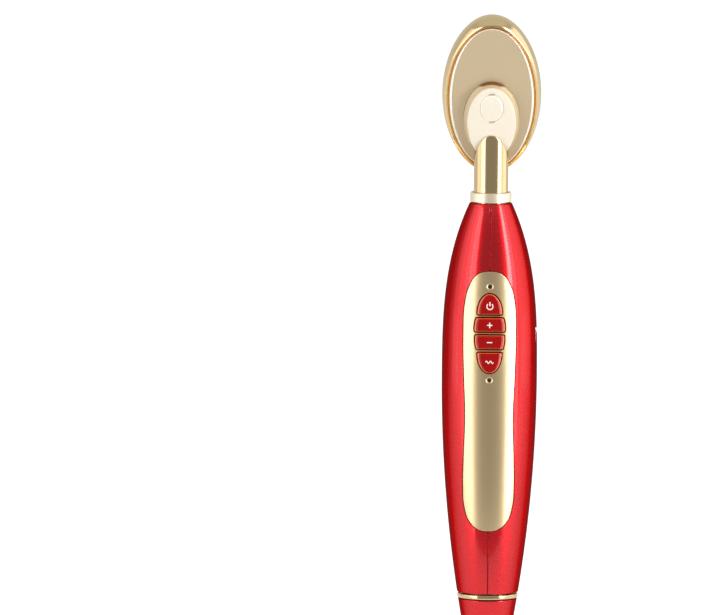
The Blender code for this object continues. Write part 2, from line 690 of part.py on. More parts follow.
def build_board():
    """The main board with its chip, its screws, and the light pipes in front of their diodes."""
    half = 0.5 * BOARD_WIDTH
    back = BOARD_FRONT + BOARD_THICKNESS
    board = box("main_board", (-half, BOARD_FRONT, BOARD_BOTTOM), (half, back, BOARD_TOP), BOARD)
    number = 0
    for height in BOARD_SCREW_HEIGHTS:
        for side in (-1.0, 1.0):
            number += 1
            where = {"location": (side * BOARD_SCREW_OFFSET, 0.0, height), "rotation": FACING_FRONT}
            hole = cylinder(
                f"board_hole_{number}", BOARD_SCREW_SHANK + GAP, -back - OVERRUN, -BOARD_FRONT + OVERRUN,
                None, 12, **where)
            cut(board, hole)
            under = -back - GAP
            tip = under + BOARD_SCREW_LENGTH
            profile = [
                (0.0, tip), (BOARD_SCREW_SHANK, tip), (BOARD_SCREW_SHANK, under), (BOARD_SCREW_HEAD, under),
                (BOARD_SCREW_HEAD, under - BOARD_SCREW_HEAD_HEIGHT), (0.0, under - BOARD_SCREW_HEAD_HEIGHT)]
            turned(f"board_screw_{number}", profile, STEEL, 12, **where)
    chip_back = back + GAP
    box("control_chip", (-0.5 * CHIP_SIZE[0], chip_back, CHIP_HEIGHT - 0.5 * CHIP_SIZE[2]),
        (0.5 * CHIP_SIZE[0], chip_back + CHIP_SIZE[1], CHIP_HEIGHT + 0.5 * CHIP_SIZE[2]), BLACK)
    diode_front = GAP - BOARD_FRONT + DIODE_SIZE[1]
    for end, height in zip(("upper", "lower"), LIGHT_HEIGHTS):
        where = {"location": (0.0, 0.0, height), "rotation": FACING_FRONT}
        box(
            "indicator_led_" + end, (-0.5 * DIODE_SIZE[0], -0.5 * DIODE_SIZE[2], diode_front - DIODE_SIZE[1]),
            (0.5 * DIODE_SIZE[0], 0.5 * DIODE_SIZE[2], diode_front), CLEAR, **where)
        front = body_radius(height) - LIGHT_SINK
        cylinder("light_pipe_" + end, LIGHT_RADIUS, diode_front + GAP, front, CLEAR, 16, **where)


def build_charging():
    """The socket on its own small board, and the cover hinged over it on a pin."""
    foot = SOCKET_HEIGHT - 0.5 * SOCKET_SIZE[2]
    roof = SOCKET_HEIGHT + 0.5 * SOCKET_SIZE[2]
    half = 0.5 * SOCKET_SIZE[1]
    back = SOCKET_MOUTH - SOCKET_SIZE[0]
    socket = box("charging_socket", (back, -half, foot), (SOCKET_MOUTH, half, roof), STEEL)
    cut(socket, box(
        "socket_hollow", (SOCKET_MOUTH - SOCKET_DEPTH, SOCKET_WALL - half, foot + SOCKET_WALL),
        (SOCKET_MOUTH + OVERRUN, half - SOCKET_WALL, roof - SOCKET_WALL), None))
    join(socket, box(
        "socket_tongue",
        (back + SOCKET_WALL, 2.0 * SOCKET_WALL + GAP - half, SOCKET_HEIGHT - 0.5 * TONGUE_THICKNESS),
        (SOCKET_MOUTH - SOCKET_WALL, half - 2.0 * SOCKET_WALL - GAP, SOCKET_HEIGHT + 0.5 * TONGUE_THICKNESS),
        None))
    edge = 0.5 * CHARGE_BOARD_SIZE[1]
    right = SOCKET_MOUTH - SOCKET_WALL
    box("charge_board", (right - CHARGE_BOARD_SIZE[0], -edge, foot - GAP - CHARGE_BOARD_SIZE[2]),
        (right, edge, foot - GAP), BOARD)

    mesh = outline_mesh("socket_cover", cover_outline(0.0), -HINGE_RADIUS_OUT, OVERRUN + WALL)
    cover = place("socket_cover", mesh, RED, parent=HINGE, rotation=FACING_RIGHT)
    keep(cover, COVER_BAND)
    length = HINGE_TAB_HALF_WIDTH
    join(cover, cylinder(
        "cover_knuckle", KNUCKLE_RADIUS, -length, length, None, 20, parent=HINGE, rotation=FACING_FRONT))
    cut(cover, cylinder(
        "cover_pin_bore", HINGE_PIN_RADIUS + 0.5 * GAP, -length - OVERRUN, length + OVERRUN, None, 16,
        parent=HINGE, rotation=FACING_FRONT))
    cut(cover, cylinder(
        "cover_notch", COVER_NOTCH_RADIUS, GRIP_RADIUS - 0.5 * COVER_THICKNESS, PROUD_RADIUS, None, 16,
        location=(0.0, 0.0, COVER_BOTTOM - 0.5 * COVER_NOTCH_RADIUS), rotation=FACING_RIGHT))
    cylinder(
        "cover_pin", HINGE_PIN_RADIUS, -HINGE_PIN_HALF_LENGTH, HINGE_PIN_HALF_LENGTH, STEEL, 16,
        parent=HINGE, rotation=FACING_FRONT)


NECK_OUTER = BATTERY_RADIUS + GAP + TUBE_WALL
CAP_TOP = RING_BOTTOM - GAP


def build_battery():
    """The cell in its metal tube, whose lower end is the tail's neck, and the contact over the cell."""
    tip = BATTERY_BOTTOM + BATTERY_LENGTH
    can = tip - BATTERY_TIP_HEIGHT
    turned("battery_cell", [
        (0.0, tip), (BATTERY_TIP_RADIUS, tip), (BATTERY_TIP_RADIUS, can), (BATTERY_RADIUS - GAP, can),
        (BATTERY_RADIUS, can - GAP), (BATTERY_RADIUS, BATTERY_BOTTOM + GAP),
        (BATTERY_RADIUS - GAP, BATTERY_BOTTOM), (0.0, BATTERY_BOTTOM)], STEEL, 32)
    bore = BATTERY_RADIUS + GAP
    hole = LEAD_RADIUS + 2.0 * GAP
    flange_bottom = BATTERY_RIB_BOTTOMS[0] + RIB_THICKNESS + GAP
    flange_top = flange_bottom + TUBE_CAP
    turned("battery_tube", [
        (hole, TUBE_TOP), (NECK_OUTER, TUBE_TOP), (NECK_OUTER, flange_top), (TUBE_FLANGE_RADIUS, flange_top),
        (TUBE_FLANGE_RADIUS, flange_bottom), (NECK_OUTER, flange_bottom), (NECK_OUTER, NECK_BOTTOM),
        (bore, NECK_BOTTOM), (bore, TUBE_TOP - TUBE_CAP), (hole, TUBE_TOP - TUBE_CAP)], STEEL, 32)
    contact_top = TUBE_TOP - TUBE_CAP - GAP
    contact_foot = contact_top - CONTACT_THICKNESS
    turned("battery_contact", [
        (0.0, contact_top), (CONTACT_RADIUS, contact_top), (CONTACT_RADIUS, contact_foot),
        (BATTERY_TIP_RADIUS, contact_foot), (BATTERY_TIP_RADIUS - CONTACT_THICKNESS, tip + GAP),
        (0.0, tip + GAP)], STEEL, 24)


def build_tail():
    """The gold ring, the tail cap that screws over the neck, its spring and the seal."""
    ring_edge = 0.25 * (RING_TOP - RING_BOTTOM)
    ring_bore = RING_RADIUS - RING_WALL
    turned("tail_ring", [
        (RING_RADIUS - ring_edge, RING_TOP), (RING_RADIUS, RING_TOP - ring_edge),
        (RING_RADIUS, RING_BOTTOM + ring_edge), (RING_RADIUS - ring_edge, RING_BOTTOM),
        (ring_bore, RING_BOTTOM), (ring_bore, RING_TOP)], GOLD)
    round_top = CAP_BOTTOM + CAP_ROUND
    skin = body_skin(CAP_TOP, round_top, 0.0, BODY_RINGS // 2)
    shoulder = skin[-1][0]
    nose = arc((CAP_FACE_RADIUS, round_top), (shoulder - CAP_FACE_RADIUS, CAP_ROUND), 0.0, -0.25, NOSE_POINTS)[1:]
    bore = NECK_OUTER + GAP
    bore_floor = CAP_TOP - CAP_BORE_DEPTH
    well_floor = CAP_TOP - CAP_WELL_DEPTH
    turned("tail_cap", [
        (0.0, well_floor), (CAP_WELL_RADIUS, well_floor), (CAP_WELL_RADIUS, bore_floor),
        (bore, bore_floor), (bore, CAP_TOP), *skin, *nose, (0.0, CAP_BOTTOM)], RED)
    middle = 0.5 * (RING_TOP + RING_BOTTOM)
    seal_centre = (NECK_OUTER + GAP + SEAL_SECTION, middle)
    seal = arc(seal_centre, (SEAL_SECTION, SEAL_SECTION), 0.25, -0.75)[:-1]
    turned("tail_seal", seal, RUBBER, 24)

    spring_top = BATTERY_BOTTOM - GAP - SPRING_WIRE
    spring_foot = well_floor + GAP + SPRING_WIRE
    curve = bpy.data.curves.new("tail_spring", "CURVE")
    curve.dimensions = "3D"
    curve.bevel_depth = SPRING_WIRE
    curve.bevel_resolution = 1
    curve.use_fill_caps = True
    spline = curve.splines.new("POLY")
    count = SPRING_TURNS * SPRING_POINTS
    spline.points.add(count)
    for index in range(count + 1):
        angle = TURN * index / SPRING_POINTS
        height = spring_top + (spring_foot - spring_top) * index / count
        spline.points[index].co = (SPRING_RADIUS * math.cos(angle), SPRING_RADIUS * math.sin(angle), height, 1.0)
    place("tail_spring", curve, STEEL)


HEAD = frame("head_frame", location=(0.0, 0.0, HEAD_CROSSING), rotation=(HEAD_LEAN, 0.0, 0.0))


def oval(name, levels, finish, closed=False, centre=HEAD_CENTRE):
    """A loft of ovals in the head's frame, each level a half width, a half length and a height."""
    shape = bmesh.new()
    rings = []
    for half_width, half_length, height in levels:
        ring = []
        for index in range(HEAD_STEPS):
            angle = TURN * index / HEAD_STEPS
            point = (half_width * math.cos(angle), centre + half_length * math.sin(angle), height)
            ring.append(shape.verts.new(point))
        rings.append(ring)
    pairs = list(zip(rings, rings[1:]))
    if closed:
        pairs.append((rings[-1], rings[0]))
    else:
        shape.faces.new(rings[0])
        shape.faces.new(rings[-1])
    for one, two in pairs:
        for index in range(HEAD_STEPS):
            after = (index + 1) % HEAD_STEPS
            shape.faces.new((one[index], one[after], two[after], two[index]))
    bmesh.ops.recalc_face_normals(shape, faces=shape.faces)
    mesh = bpy.data.meshes.new(name)
    shape.to_mesh(mesh)
    shape.free()
    round_off(mesh)
    return place(name, mesh, finish, parent=HEAD)


def inset(distance, height):
    """One level of the head's outline, drawn in by a distance."""
    return (HEAD_HALF_WIDTH - distance, HEAD_HALF_LENGTH - distance, height)


def boss_levels(foot, grow):
    """The raised boss on the head's back: a steep side, a soft shoulder and a nearly flat top."""
    levels = [(BOSS_HALF_WIDTH + grow, BOSS_HALF_LENGTH + grow, foot)]
    for inward_share, height_share in BOSS_SHARES:
        inward = inward_share * BOSS_HALF_WIDTH - grow
        levels.append((BOSS_HALF_WIDTH - inward, BOSS_HALF_LENGTH - inward, height_share * BOSS_HEIGHT + grow))
    return levels


def post_hole(name, radius, low, high, place_at=(0.0, PLUG_CENTRE)):
    """A round cutter out of the head's back, at a place on the head."""
    return cylinder(name, radius, low, high, None, 20, parent=HEAD, location=(*place_at, 0.0))


def build_neck():
    """The polished tube, cut slanting to the head's back, and the collar where it leaves the body."""
    top = HEAD_CROSSING + 2.0 * NECK_RADIUS / abs(math.cos(HEAD_LEAN)) * math.sin(HEAD_LEAN)
    flange_top = NECK_FOOT + NECK_FLANGE_HEIGHT
    neck = turned("neck_tube", [
        (NECK_RADIUS, top), (NECK_RADIUS, flange_top), (NECK_FLANGE_RADIUS, flange_top),
        (NECK_FLANGE_RADIUS, NECK_FOOT), (NECK_BORE, NECK_FOOT), (NECK_BORE, top)], GOLD, 32)
    reach = 2.0 * HEAD_HALF_LENGTH
    cut(neck, box(
        "neck_slant", (-reach, -reach, -reach), (reach, reach, NECK_CUT_HEIGHT), None, parent=HEAD))
    cut(neck, oval("neck_boss_fit", boss_levels(-OVERRUN, GAP), None, centre=BOSS_CENTRE))
    bottom = BODY_TOP + GAP
    collar_top = bottom + COLLAR_HEIGHT
    bore = NECK_RADIUS + GAP
    turned("neck_collar", [
        (COLLAR_RADIUS - COLLAR_EDGE, collar_top), (COLLAR_RADIUS, collar_top - COLLAR_EDGE),
        (COLLAR_RADIUS, bottom + COLLAR_EDGE), (COLLAR_RADIUS - COLLAR_EDGE, bottom),
        (bore, bottom), (bore, collar_top)], SATIN, 32)


def build_motor():
    """The vibration motor in its rubber sleeve, and the weight that its shaft turns."""
    top = MOTOR_BOTTOM + MOTOR_LENGTH
    shaft_foot = top - SHAFT_SINK
    well = SHAFT_RADIUS + GAP
    turned("motor_can", [
        (0.0, shaft_foot - GAP), (well, shaft_foot - GAP), (well, top), (MOTOR_RADIUS, top),
        (MOTOR_RADIUS, MOTOR_BOTTOM), (0.0, MOTOR_BOTTOM)], STEEL, 24)
    bore = MOTOR_RADIUS + GAP
    tube("motor_sleeve", bore, bore + SLEEVE_WALL, SLEEVE_BOTTOM, SLEEVE_BOTTOM + SLEEVE_LENGTH, RUBBER, 24)
    cylinder("motor_shaft", SHAFT_RADIUS, shaft_foot, shaft_foot + SHAFT_LENGTH, STEEL, 12)
    weight_foot = top + GAP
    hub = SHAFT_RADIUS + 0.5 * GAP
    weight = tube("eccentric_weight", hub, WEIGHT_RADIUS, weight_foot, weight_foot + WEIGHT_HEIGHT, STEEL, 24)
    cut(weight, box(
        "weight_side", (-2.0 * WEIGHT_RADIUS, -2.0 * WEIGHT_RADIUS, weight_foot - OVERRUN),
        (2.0 * WEIGHT_RADIUS, -2.0 * hub, weight_foot + WEIGHT_HEIGHT + OVERRUN), None))


PLATE_TOP = -(LEDGE_BOTTOM + 2.0 * GAP + GASKET_HEIGHT)
PLATE_FLOOR = PLATE_TOP - PLATE_RECESS
COVER_LAND = RIM_LAND + GAP + TRIM_WIDTH + GAP
FILM_LAND = LEDGE_LAND + 2.0 * GAP


def build_head_back():
    """The back cover with its boss and spigot, the inlay round the boss, the trim, the plug and its screw."""
    cover = oval("head_back_cover", [
        inset(COVER_LAND + GAP, 0.0), inset(COVER_LAND, -GAP), inset(COVER_LAND, -BACK_THICKNESS)], CREAM)
    inlay_land = COVER_LAND + BACK_BAND
    recess = oval("inlay_recess", [
        inset(inlay_land - GAP, OVERRUN), inset(inlay_land - GAP, -INLAY_DEPTH - GAP)], None)
    cut(cover, recess)
    join(cover, oval("boss", boss_levels(-INLAY_DEPTH - GAP - ROOT, 0.0), None, centre=BOSS_CENTRE))
    join(cover, cylinder("spigot", SPIGOT_RADIUS, SPIGOT_BOTTOM, HEAD_CROSSING + 2.0 * SPIGOT_RADIUS, None, 28))
    reach = 2.0 * HEAD_HALF_LENGTH
    cut(cover, box(
        "head_inside", (-reach, -reach, -reach), (reach, reach, -BACK_THICKNESS), None, parent=HEAD))
    cut(cover, cylinder(
        "wire_bore", WIRE_BORE, SPIGOT_BOTTOM - OVERRUN, HEAD_CROSSING + 2.0 * SPIGOT_RADIUS, None, 20))

    plug_floor = BOSS_HEIGHT + PLUG_PROUD - PLUG_THICKNESS - GAP
    cut(cover, oval("plug_recess", [
        (PLUG_HALF_WIDTH + GAP, PLUG_HALF_LENGTH + GAP, BOSS_HEIGHT + OVERRUN),
        (PLUG_HALF_WIDTH + GAP, PLUG_HALF_LENGTH + GAP, plug_floor)], None, centre=PLUG_CENTRE))
    plug_top = BOSS_HEIGHT + PLUG_PROUD
    oval("screw_plug", [
        (PLUG_HALF_WIDTH - GAP, PLUG_HALF_LENGTH - GAP, plug_top),
        (PLUG_HALF_WIDTH, PLUG_HALF_LENGTH, plug_top - GAP),
        (PLUG_HALF_WIDTH, PLUG_HALF_LENGTH, plug_top - PLUG_THICKNESS)], CREAM, centre=PLUG_CENTRE)
    screw_top = plug_floor - GAP
    under = screw_top - HEAD_SCREW_HEAD_HEIGHT
    cut(cover, post_hole("screw_well", HEAD_SCREW_HEAD + GAP, under - GAP, BOSS_HEIGHT))
    cut(cover, post_hole("screw_hole", HEAD_SCREW_SHANK + GAP, -BACK_THICKNESS - OVERRUN, BOSS_HEIGHT))
    turned("head_screw", [
        (0.0, screw_top), (HEAD_SCREW_HEAD, screw_top), (HEAD_SCREW_HEAD, under), (HEAD_SCREW_SHANK, under),
        (HEAD_SCREW_SHANK, under - HEAD_SCREW_LENGTH), (0.0, under - HEAD_SCREW_LENGTH)], STEEL, 16,
        parent=HEAD, location=(0.0, PLUG_CENTRE, 0.0))

    inlay = oval("head_inlay", [inset(inlay_land, 0.0), inset(inlay_land, -INLAY_DEPTH)], TAN)
    cut(inlay, oval("inlay_boss_fit", [
        (BOSS_HALF_WIDTH + GAP, BOSS_HALF_LENGTH + GAP, OVERRUN),
        (BOSS_HALF_WIDTH + GAP, BOSS_HALF_LENGTH + GAP, -OVERRUN)], None, centre=BOSS_CENTRE))
    cut(inlay, cylinder(
        "inlay_spigot_fit", SPIGOT_RADIUS + GAP, SPIGOT_BOTTOM, HEAD_CROSSING + 2.0 * NECK_RADIUS, None, 28))
    trim_land = RIM_LAND + GAP
    trim_foot = GAP - LEDGE_TOP
    oval("head_trim_ring", [
        inset(trim_land, 0.0), inset(trim_land, trim_foot), inset(trim_land + TRIM_WIDTH, trim_foot),
        inset(trim_land + TRIM_WIDTH, 0.0)], ORANGE, closed=True)


def build_head_front():
    """The rim, and the warm plate on the far side with its gasket, heater film, pad and sensor."""
    outside = [inset(inward * RIM_LAND, -down * RIM_DEPTH) for inward, down in RIM_SHARES]
    oval("head_rim", [
        inset(RIM_LAND, 0.0), inset(RIM_CREST_SHARE * RIM_LAND, RIM_CREST), *outside, inset(RIM_LAND, -RIM_DEPTH),
        inset(RIM_LAND + 2.0 * GAP, -RIM_DEPTH), inset(RIM_LAND + 2.0 * GAP, -LEDGE_BOTTOM),
        inset(LEDGE_LAND, -LEDGE_BOTTOM), inset(LEDGE_LAND, -LEDGE_TOP), inset(RIM_LAND, -LEDGE_TOP)],
        GOLD, closed=True)
    land = RIM_LAND + 3.0 * GAP
    gasket_top = -LEDGE_BOTTOM - GAP
    oval("head_gasket", [
        inset(land, gasket_top), inset(land, gasket_top - GASKET_HEIGHT),
        inset(LEDGE_LAND, gasket_top - GASKET_HEIGHT), inset(LEDGE_LAND, gasket_top)], RUBBER, closed=True)
    inner = LEDGE_LAND + GAP
    levels = [inset(inner, PLATE_FLOOR), inset(inner, PLATE_TOP), inset(land, PLATE_TOP), inset(land, PLATE_FLOOR)]
    for share in DOME_SHARES:
        half_width, half_length, _ = inset(land, 0.0)
        sink = DOME_HEIGHT * (1.0 - share * share)
        levels.append((share * half_width, share * half_length, PLATE_FLOOR - sink))
    plate = oval("massage_plate", levels, SATIN)
    post_top = -BACK_THICKNESS - GAP
    post = post_hole("plate_post", POST_RADIUS, PLATE_FLOOR - ROOT, post_top)
    bore = post_hole("plate_post_bore", HEAD_SCREW_SHANK + GAP, PLATE_FLOOR + GAP, post_top + OVERRUN)
    cut(join(plate, post), bore)
    film_foot = PLATE_FLOOR + GAP
    film_top = film_foot + FILM_THICKNESS
    film = oval("heater_film", [inset(FILM_LAND, film_top), inset(FILM_LAND, film_foot)], COPPER)
    pad_foot = film_top + GAP
    pad_top = pad_foot + PAD_THICKNESS
    pad = oval("insulation_pad", [inset(FILM_LAND, pad_top), inset(FILM_LAND, pad_foot)], FOAM)
    clear = post_hole("post_clearance", POST_RADIUS + GAP, PLATE_FLOOR, post_top)
    cut(film, clear)
    cut(pad, clear)
    cut(pad, post_hole("sensor_hole", SENSOR_RADIUS + GAP, film_top, post_top, SENSOR_PLACE))
    bead = arc((0.0, pad_foot + SENSOR_RADIUS), (SENSOR_RADIUS, SENSOR_RADIUS), 0.25, -0.25)
    bead[0] = (0.0, bead[0][1])
    bead[-1] = (0.0, bead[-1][1])
    turned("temperature_sensor", bead, BLACK, 12, parent=HEAD, location=(*SENSOR_PLACE, 0.0))


# Routes of the leads inside, in millimetres
HEATER_ROUTE = (
    (1.5, -4.0, 20.5), (1.5, -3.9, 25.0), (2.5, -1.0, 28.2), (2.2, 3.5, 28.6), (0.8, 5.6, 30.2), (0.0, 5.9, 32.4),
    (0.0, 5.9, 39.4), (0.0, 5.2, 40.9), (0.0, 4.3, 42.0), (0.0, 3.75, 43.2), (0.0, 3.7, 47.5), (0.0, 1.5, 54.0),
    (0.0, 0.0, 60.0), (0.0, 0.0, 70.5), (0.0, 0.0, 73.2), (0.0, -1.4, 75.9), (0.0, -2.4, 78.2),
)
MOTOR_ROUTE = ((-1.2, 0.3, 29.5), (-1.4, -1.0, 28.2), (-1.6, -3.3, 25.5), (-1.6, -4.0, 20.5))
BATTERY_ROUTE = ((0.0, 0.0, -16.3), (0.0, -0.2, -13.5), (0.0, -2.5, -9.0), (0.0, -3.9, -4.0), (0.0, -4.0, 0.5))
RETURN_ROUTE = ((3.5, 0.0, -15.0), (3.3, -0.4, -13.5), (2.8, -2.5, -9.0), (2.5, -3.9, -4.0), (2.5, -4.0, 0.5))
CHARGE_ROUTE = ((4.8, 1.5, 3.6), (4.8, -1.2, 3.4), (4.8, -3.4, 2.6), (4.8, -4.0, 0.8))


build_shells()
build_panel()
build_buttons()
build_board()
build_charging()
build_battery()
build_tail()
build_neck()
build_motor()
build_head_back()
build_head_front()
lead("heater_lead", HEATER_ROUTE, WIRE)
lead("motor_lead", MOTOR_ROUTE, WIRE)
lead("battery_lead", BATTERY_ROUTE, WIRE)
lead("return_lead", RETURN_ROUTE, WIRE)
lead("charge_lead", CHARGE_ROUTE, WIRE)
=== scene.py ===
"""Studio scene of a heated eye massager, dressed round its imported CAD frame.

Lengths are in metres, in the frame's own axes: Z up the handle, the control panel facing -Y.
The massage head has axes of its own: X across it, Y up its length, Z out of its back.
"""

import logging
import math
from collections.abc import Callable, Iterable, Sequence
from dataclasses import dataclass, field
from enum import Enum
from functools import cache

import bmesh
import bpy
from mathutils import Matrix, Vector
from mathutils.geometry import delaunay_2d_cdt


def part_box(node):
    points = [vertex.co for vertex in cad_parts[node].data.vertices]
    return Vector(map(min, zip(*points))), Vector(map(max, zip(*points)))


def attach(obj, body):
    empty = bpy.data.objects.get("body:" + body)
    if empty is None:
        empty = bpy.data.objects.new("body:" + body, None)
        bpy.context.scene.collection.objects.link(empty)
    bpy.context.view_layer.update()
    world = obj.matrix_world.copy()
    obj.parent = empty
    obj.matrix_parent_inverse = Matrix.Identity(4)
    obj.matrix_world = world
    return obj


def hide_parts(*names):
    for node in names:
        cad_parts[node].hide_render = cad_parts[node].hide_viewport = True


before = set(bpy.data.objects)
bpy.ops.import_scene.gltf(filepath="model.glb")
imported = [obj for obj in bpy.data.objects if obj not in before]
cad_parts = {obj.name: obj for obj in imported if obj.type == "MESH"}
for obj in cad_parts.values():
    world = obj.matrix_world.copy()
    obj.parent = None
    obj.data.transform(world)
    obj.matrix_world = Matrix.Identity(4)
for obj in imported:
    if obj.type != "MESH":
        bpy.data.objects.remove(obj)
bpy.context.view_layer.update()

MM = 0.001
TURN = 2.0 * math.pi
GAP = 0.3 * MM
WELD = 0.002 * MM
SHARP_ANGLE = math.radians(34.0)
FADE_RANGE = (0.26, 0.52)
FLAKE_RANGE = (0.55, 1.0)
FLAKE_SHARE = 0.2
EDGE_BLEND = 0.35
RELIEF_STRENGTH = 0.35
LOG = logging.getLogger("eye_massager")

Colour = tuple[float, float, float]
Point = tuple[float, float]
Ring = Sequence[Point]


# Finishes

def paint(red: int, green: int, blue: int) -> Colour:
    """Linear colour of a display colour.

    Args:
        red: Red from 0 to 255.
        green: Green from 0 to 255.
        blue: Blue from 0 to 255.

    Returns:
        The colour as the shader takes it.
    """
    values = (channel / 255.0 for channel in (red, green, blue))
    return tuple(v / 12.92 if v <= 0.04045 else ((v + 0.055) / 1.055) ** 2.4 for v in values)


class Grain(Enum):
    """Which way the fine texture of a finish runs, as stretches of its noise along X, Y and Z."""

    EVEN = (1.0, 1.0, 1.0)
    DRAWN = (1.0, 1.0, 0.03)
    SPUN = (0.12, 0.12, 1.0)
    CROSSWISE = (0.05, 1.0, 1.0)


@dataclass(frozen=True)
class Finish:
    """A surface finish: two close colours mixed by a fine grain that also moves gloss and relief.

    Attributes:
        slot: The record's material slot that the finish belongs to.
        colour: Main colour.
        tint: The colour that the grain mixes in.
        roughness: Middle roughness.
        swing: How far the grain moves the roughness each way.
        metallic: Share of metal.
        coat: Weight of the clear coat.
        coat_roughness: Roughness of the clear coat.
        edge: Colour mixed in at grazing angles, or None: painted shade on the red parts, a painted highlight
            on the buttons' orange edge.
        grain: Direction of the grain.
        grain_size: Size of the grain's cells.
        relief: Height of the grain.
        flakes: Size of the metal flakes under the coat, or 0 for none.
        glow: Strength of the light the material gives off itself.
        clear: Share of light that passes through.
        fade: How much of the coat's gloss is lost where the surface turns away.
        shade: Painted shade: a darker colour, and the heights where it starts and is full, or None.
        specular: Tint of the gloss at grazing angles, or None for white.
        level: Strength of the gloss.
        coat_ior: How strongly the clear coat mirrors.
        name: A second name, where two finishes share a slot.
    """

    slot: str
    colour: Colour
    tint: Colour
    roughness: float
    swing: float = 0.04
    metallic: float = 0.0
    coat: float = 0.0
    coat_roughness: float = 0.03
    edge: Colour | None = None
    grain: Grain = Grain.EVEN
    grain_size: float = 0.25 * MM
    relief: float = 0.002 * MM
    flakes: float = 0.0
    glow: float = 0.0
    clear: float = 0.0
    fade: float = 0.0
    shade: tuple[Colour, float, float] | None = None
    specular: Colour | None = None
    level: float = 0.5
    coat_ior: float = 1.5
    name: str = ""

    def title(self) -> str:
        """The name of the finish's material."""
        return "finish_" + (self.name or self.slot)

    def material(self) -> bpy.types.Material:
        """The finish's material, made once."""
        return build_material(self)


def node(tree: bpy.types.NodeTree, kind: str, inputs: dict[str | int, object] | None = None,
         **settings: object) -> bpy.types.Node:
    """Adds a shader node.

    Args:
        tree: The node tree.
        kind: Its type, without the words that every type starts with.
        inputs: What its inputs take, by name or number: a value, or the socket that gives it.
        settings: Its settings.

    Returns:
        The node.
    """
    made = tree.nodes.new("ShaderNode" + kind)
    for name, value in settings.items():
        setattr(made, name, value)
    feed(made, inputs or {})
    return made


def feed(made: bpy.types.Node, inputs: dict[str | int, object]) -> None:
    """Sets or joins inputs of a node.

    Args:
        made: The node.
        inputs: What the inputs take, by name or number: a value, or the socket that gives it.
    """
    for place, value in inputs.items():
        if isinstance(value, bpy.types.NodeSocket):
            made.id_data.links.new(value, made.inputs[place])
        else:
            made.inputs[place].default_value = value


def combined(tree: bpy.types.NodeTree, operation: str, first: bpy.types.NodeSocket,
             second: float | bpy.types.NodeSocket) -> bpy.types.NodeSocket:
    """Works out one number from two.

    Args:
        tree: The node tree.
        operation: The Math node's name for it.
        first: The first number.
        second: The second number.

    Returns:
        The socket with the result.
    """
    return node(tree, "Math", {0: first, 1: second}, operation=operation).outputs[0]


def ranged(tree: bpy.types.NodeTree, value: bpy.types.NodeSocket, ends: Point, results: Sequence[object],
           soft: bool = False) -> bpy.types.NodeSocket:
    """Turns one range of a number into another.

    Args:
        tree: The node tree.
        value: The number.
        ends: Both ends of its range.
        results: What the ends turn into.
        soft: True to ease in and out.

    Returns:
        The socket with the result.
    """
    places = ("From Min", "From Max", "To Min", "To Max")
    inputs = {"Value": value, **dict(zip(places, (*ends, *results)))}
    curve = "SMOOTHSTEP" if soft else "LINEAR"
    return node(tree, "MapRange", inputs, interpolation_type=curve).outputs["Result"]


def mixed(tree: bpy.types.NodeTree, factor: bpy.types.NodeSocket, first: Colour | bpy.types.NodeSocket,
          second: Colour) -> bpy.types.NodeSocket:
    """Mixes a colour or a colour socket with a second colour.

    Args:
        tree: The material's node tree.
        factor: Share of the second colour.
        first: A colour, or the socket that gives it.
        second: The second colour.

    Returns:
        The socket with the mixed colour.
    """
    start = (*first, 1.0) if isinstance(first, tuple) else first
    inputs = {"Factor": factor, "A": start, "B": (*second, 1.0)}
    return node(tree, "Mix", inputs, data_type="RGBA").outputs["Result"]


def base_colour(finish: Finish, tree: bpy.types.NodeTree, place: bpy.types.NodeSocket,
                grain: bpy.types.NodeSocket) -> bpy.types.NodeSocket:
    """Colour of a finish: its two colours by the grain, then flakes, painted light at grazing angles and
    painted shade by height.

    Args:
        finish: The finish.
        tree: The material's node tree.
        place: The object's own coordinates.
        grain: The grain's noise.

    Returns:
        The socket with the colour.
    """
    colour = mixed(tree, grain, finish.colour, finish.tint)
    if finish.flakes:
        cells = node(tree, "TexVoronoi", {"Vector": place, "Scale": 1.0 / finish.flakes})
        share = ranged(tree, cells.outputs["Color"], FLAKE_RANGE, (0.0, FLAKE_SHARE))
        colour = mixed(tree, share, colour, finish.tint)
    # Painted light at grazing angles: the edge colour comes in as the surface turns away.
    if finish.edge is not None:
        facing = node(tree, "LayerWeight", {"Blend": EDGE_BLEND}).outputs["Facing"]
        colour = mixed(tree, facing, colour, finish.edge)
    # Painted shade by height: the shade colour comes in over a band of heights.
    if finish.shade is not None:
        tone, start, full = finish.shade
        height = node(tree, "SeparateXYZ", {0: place}).outputs["Z"]
        colour = mixed(tree, ranged(tree, height, (start, full), (0.0, 1.0), True), colour, tone)
    return colour


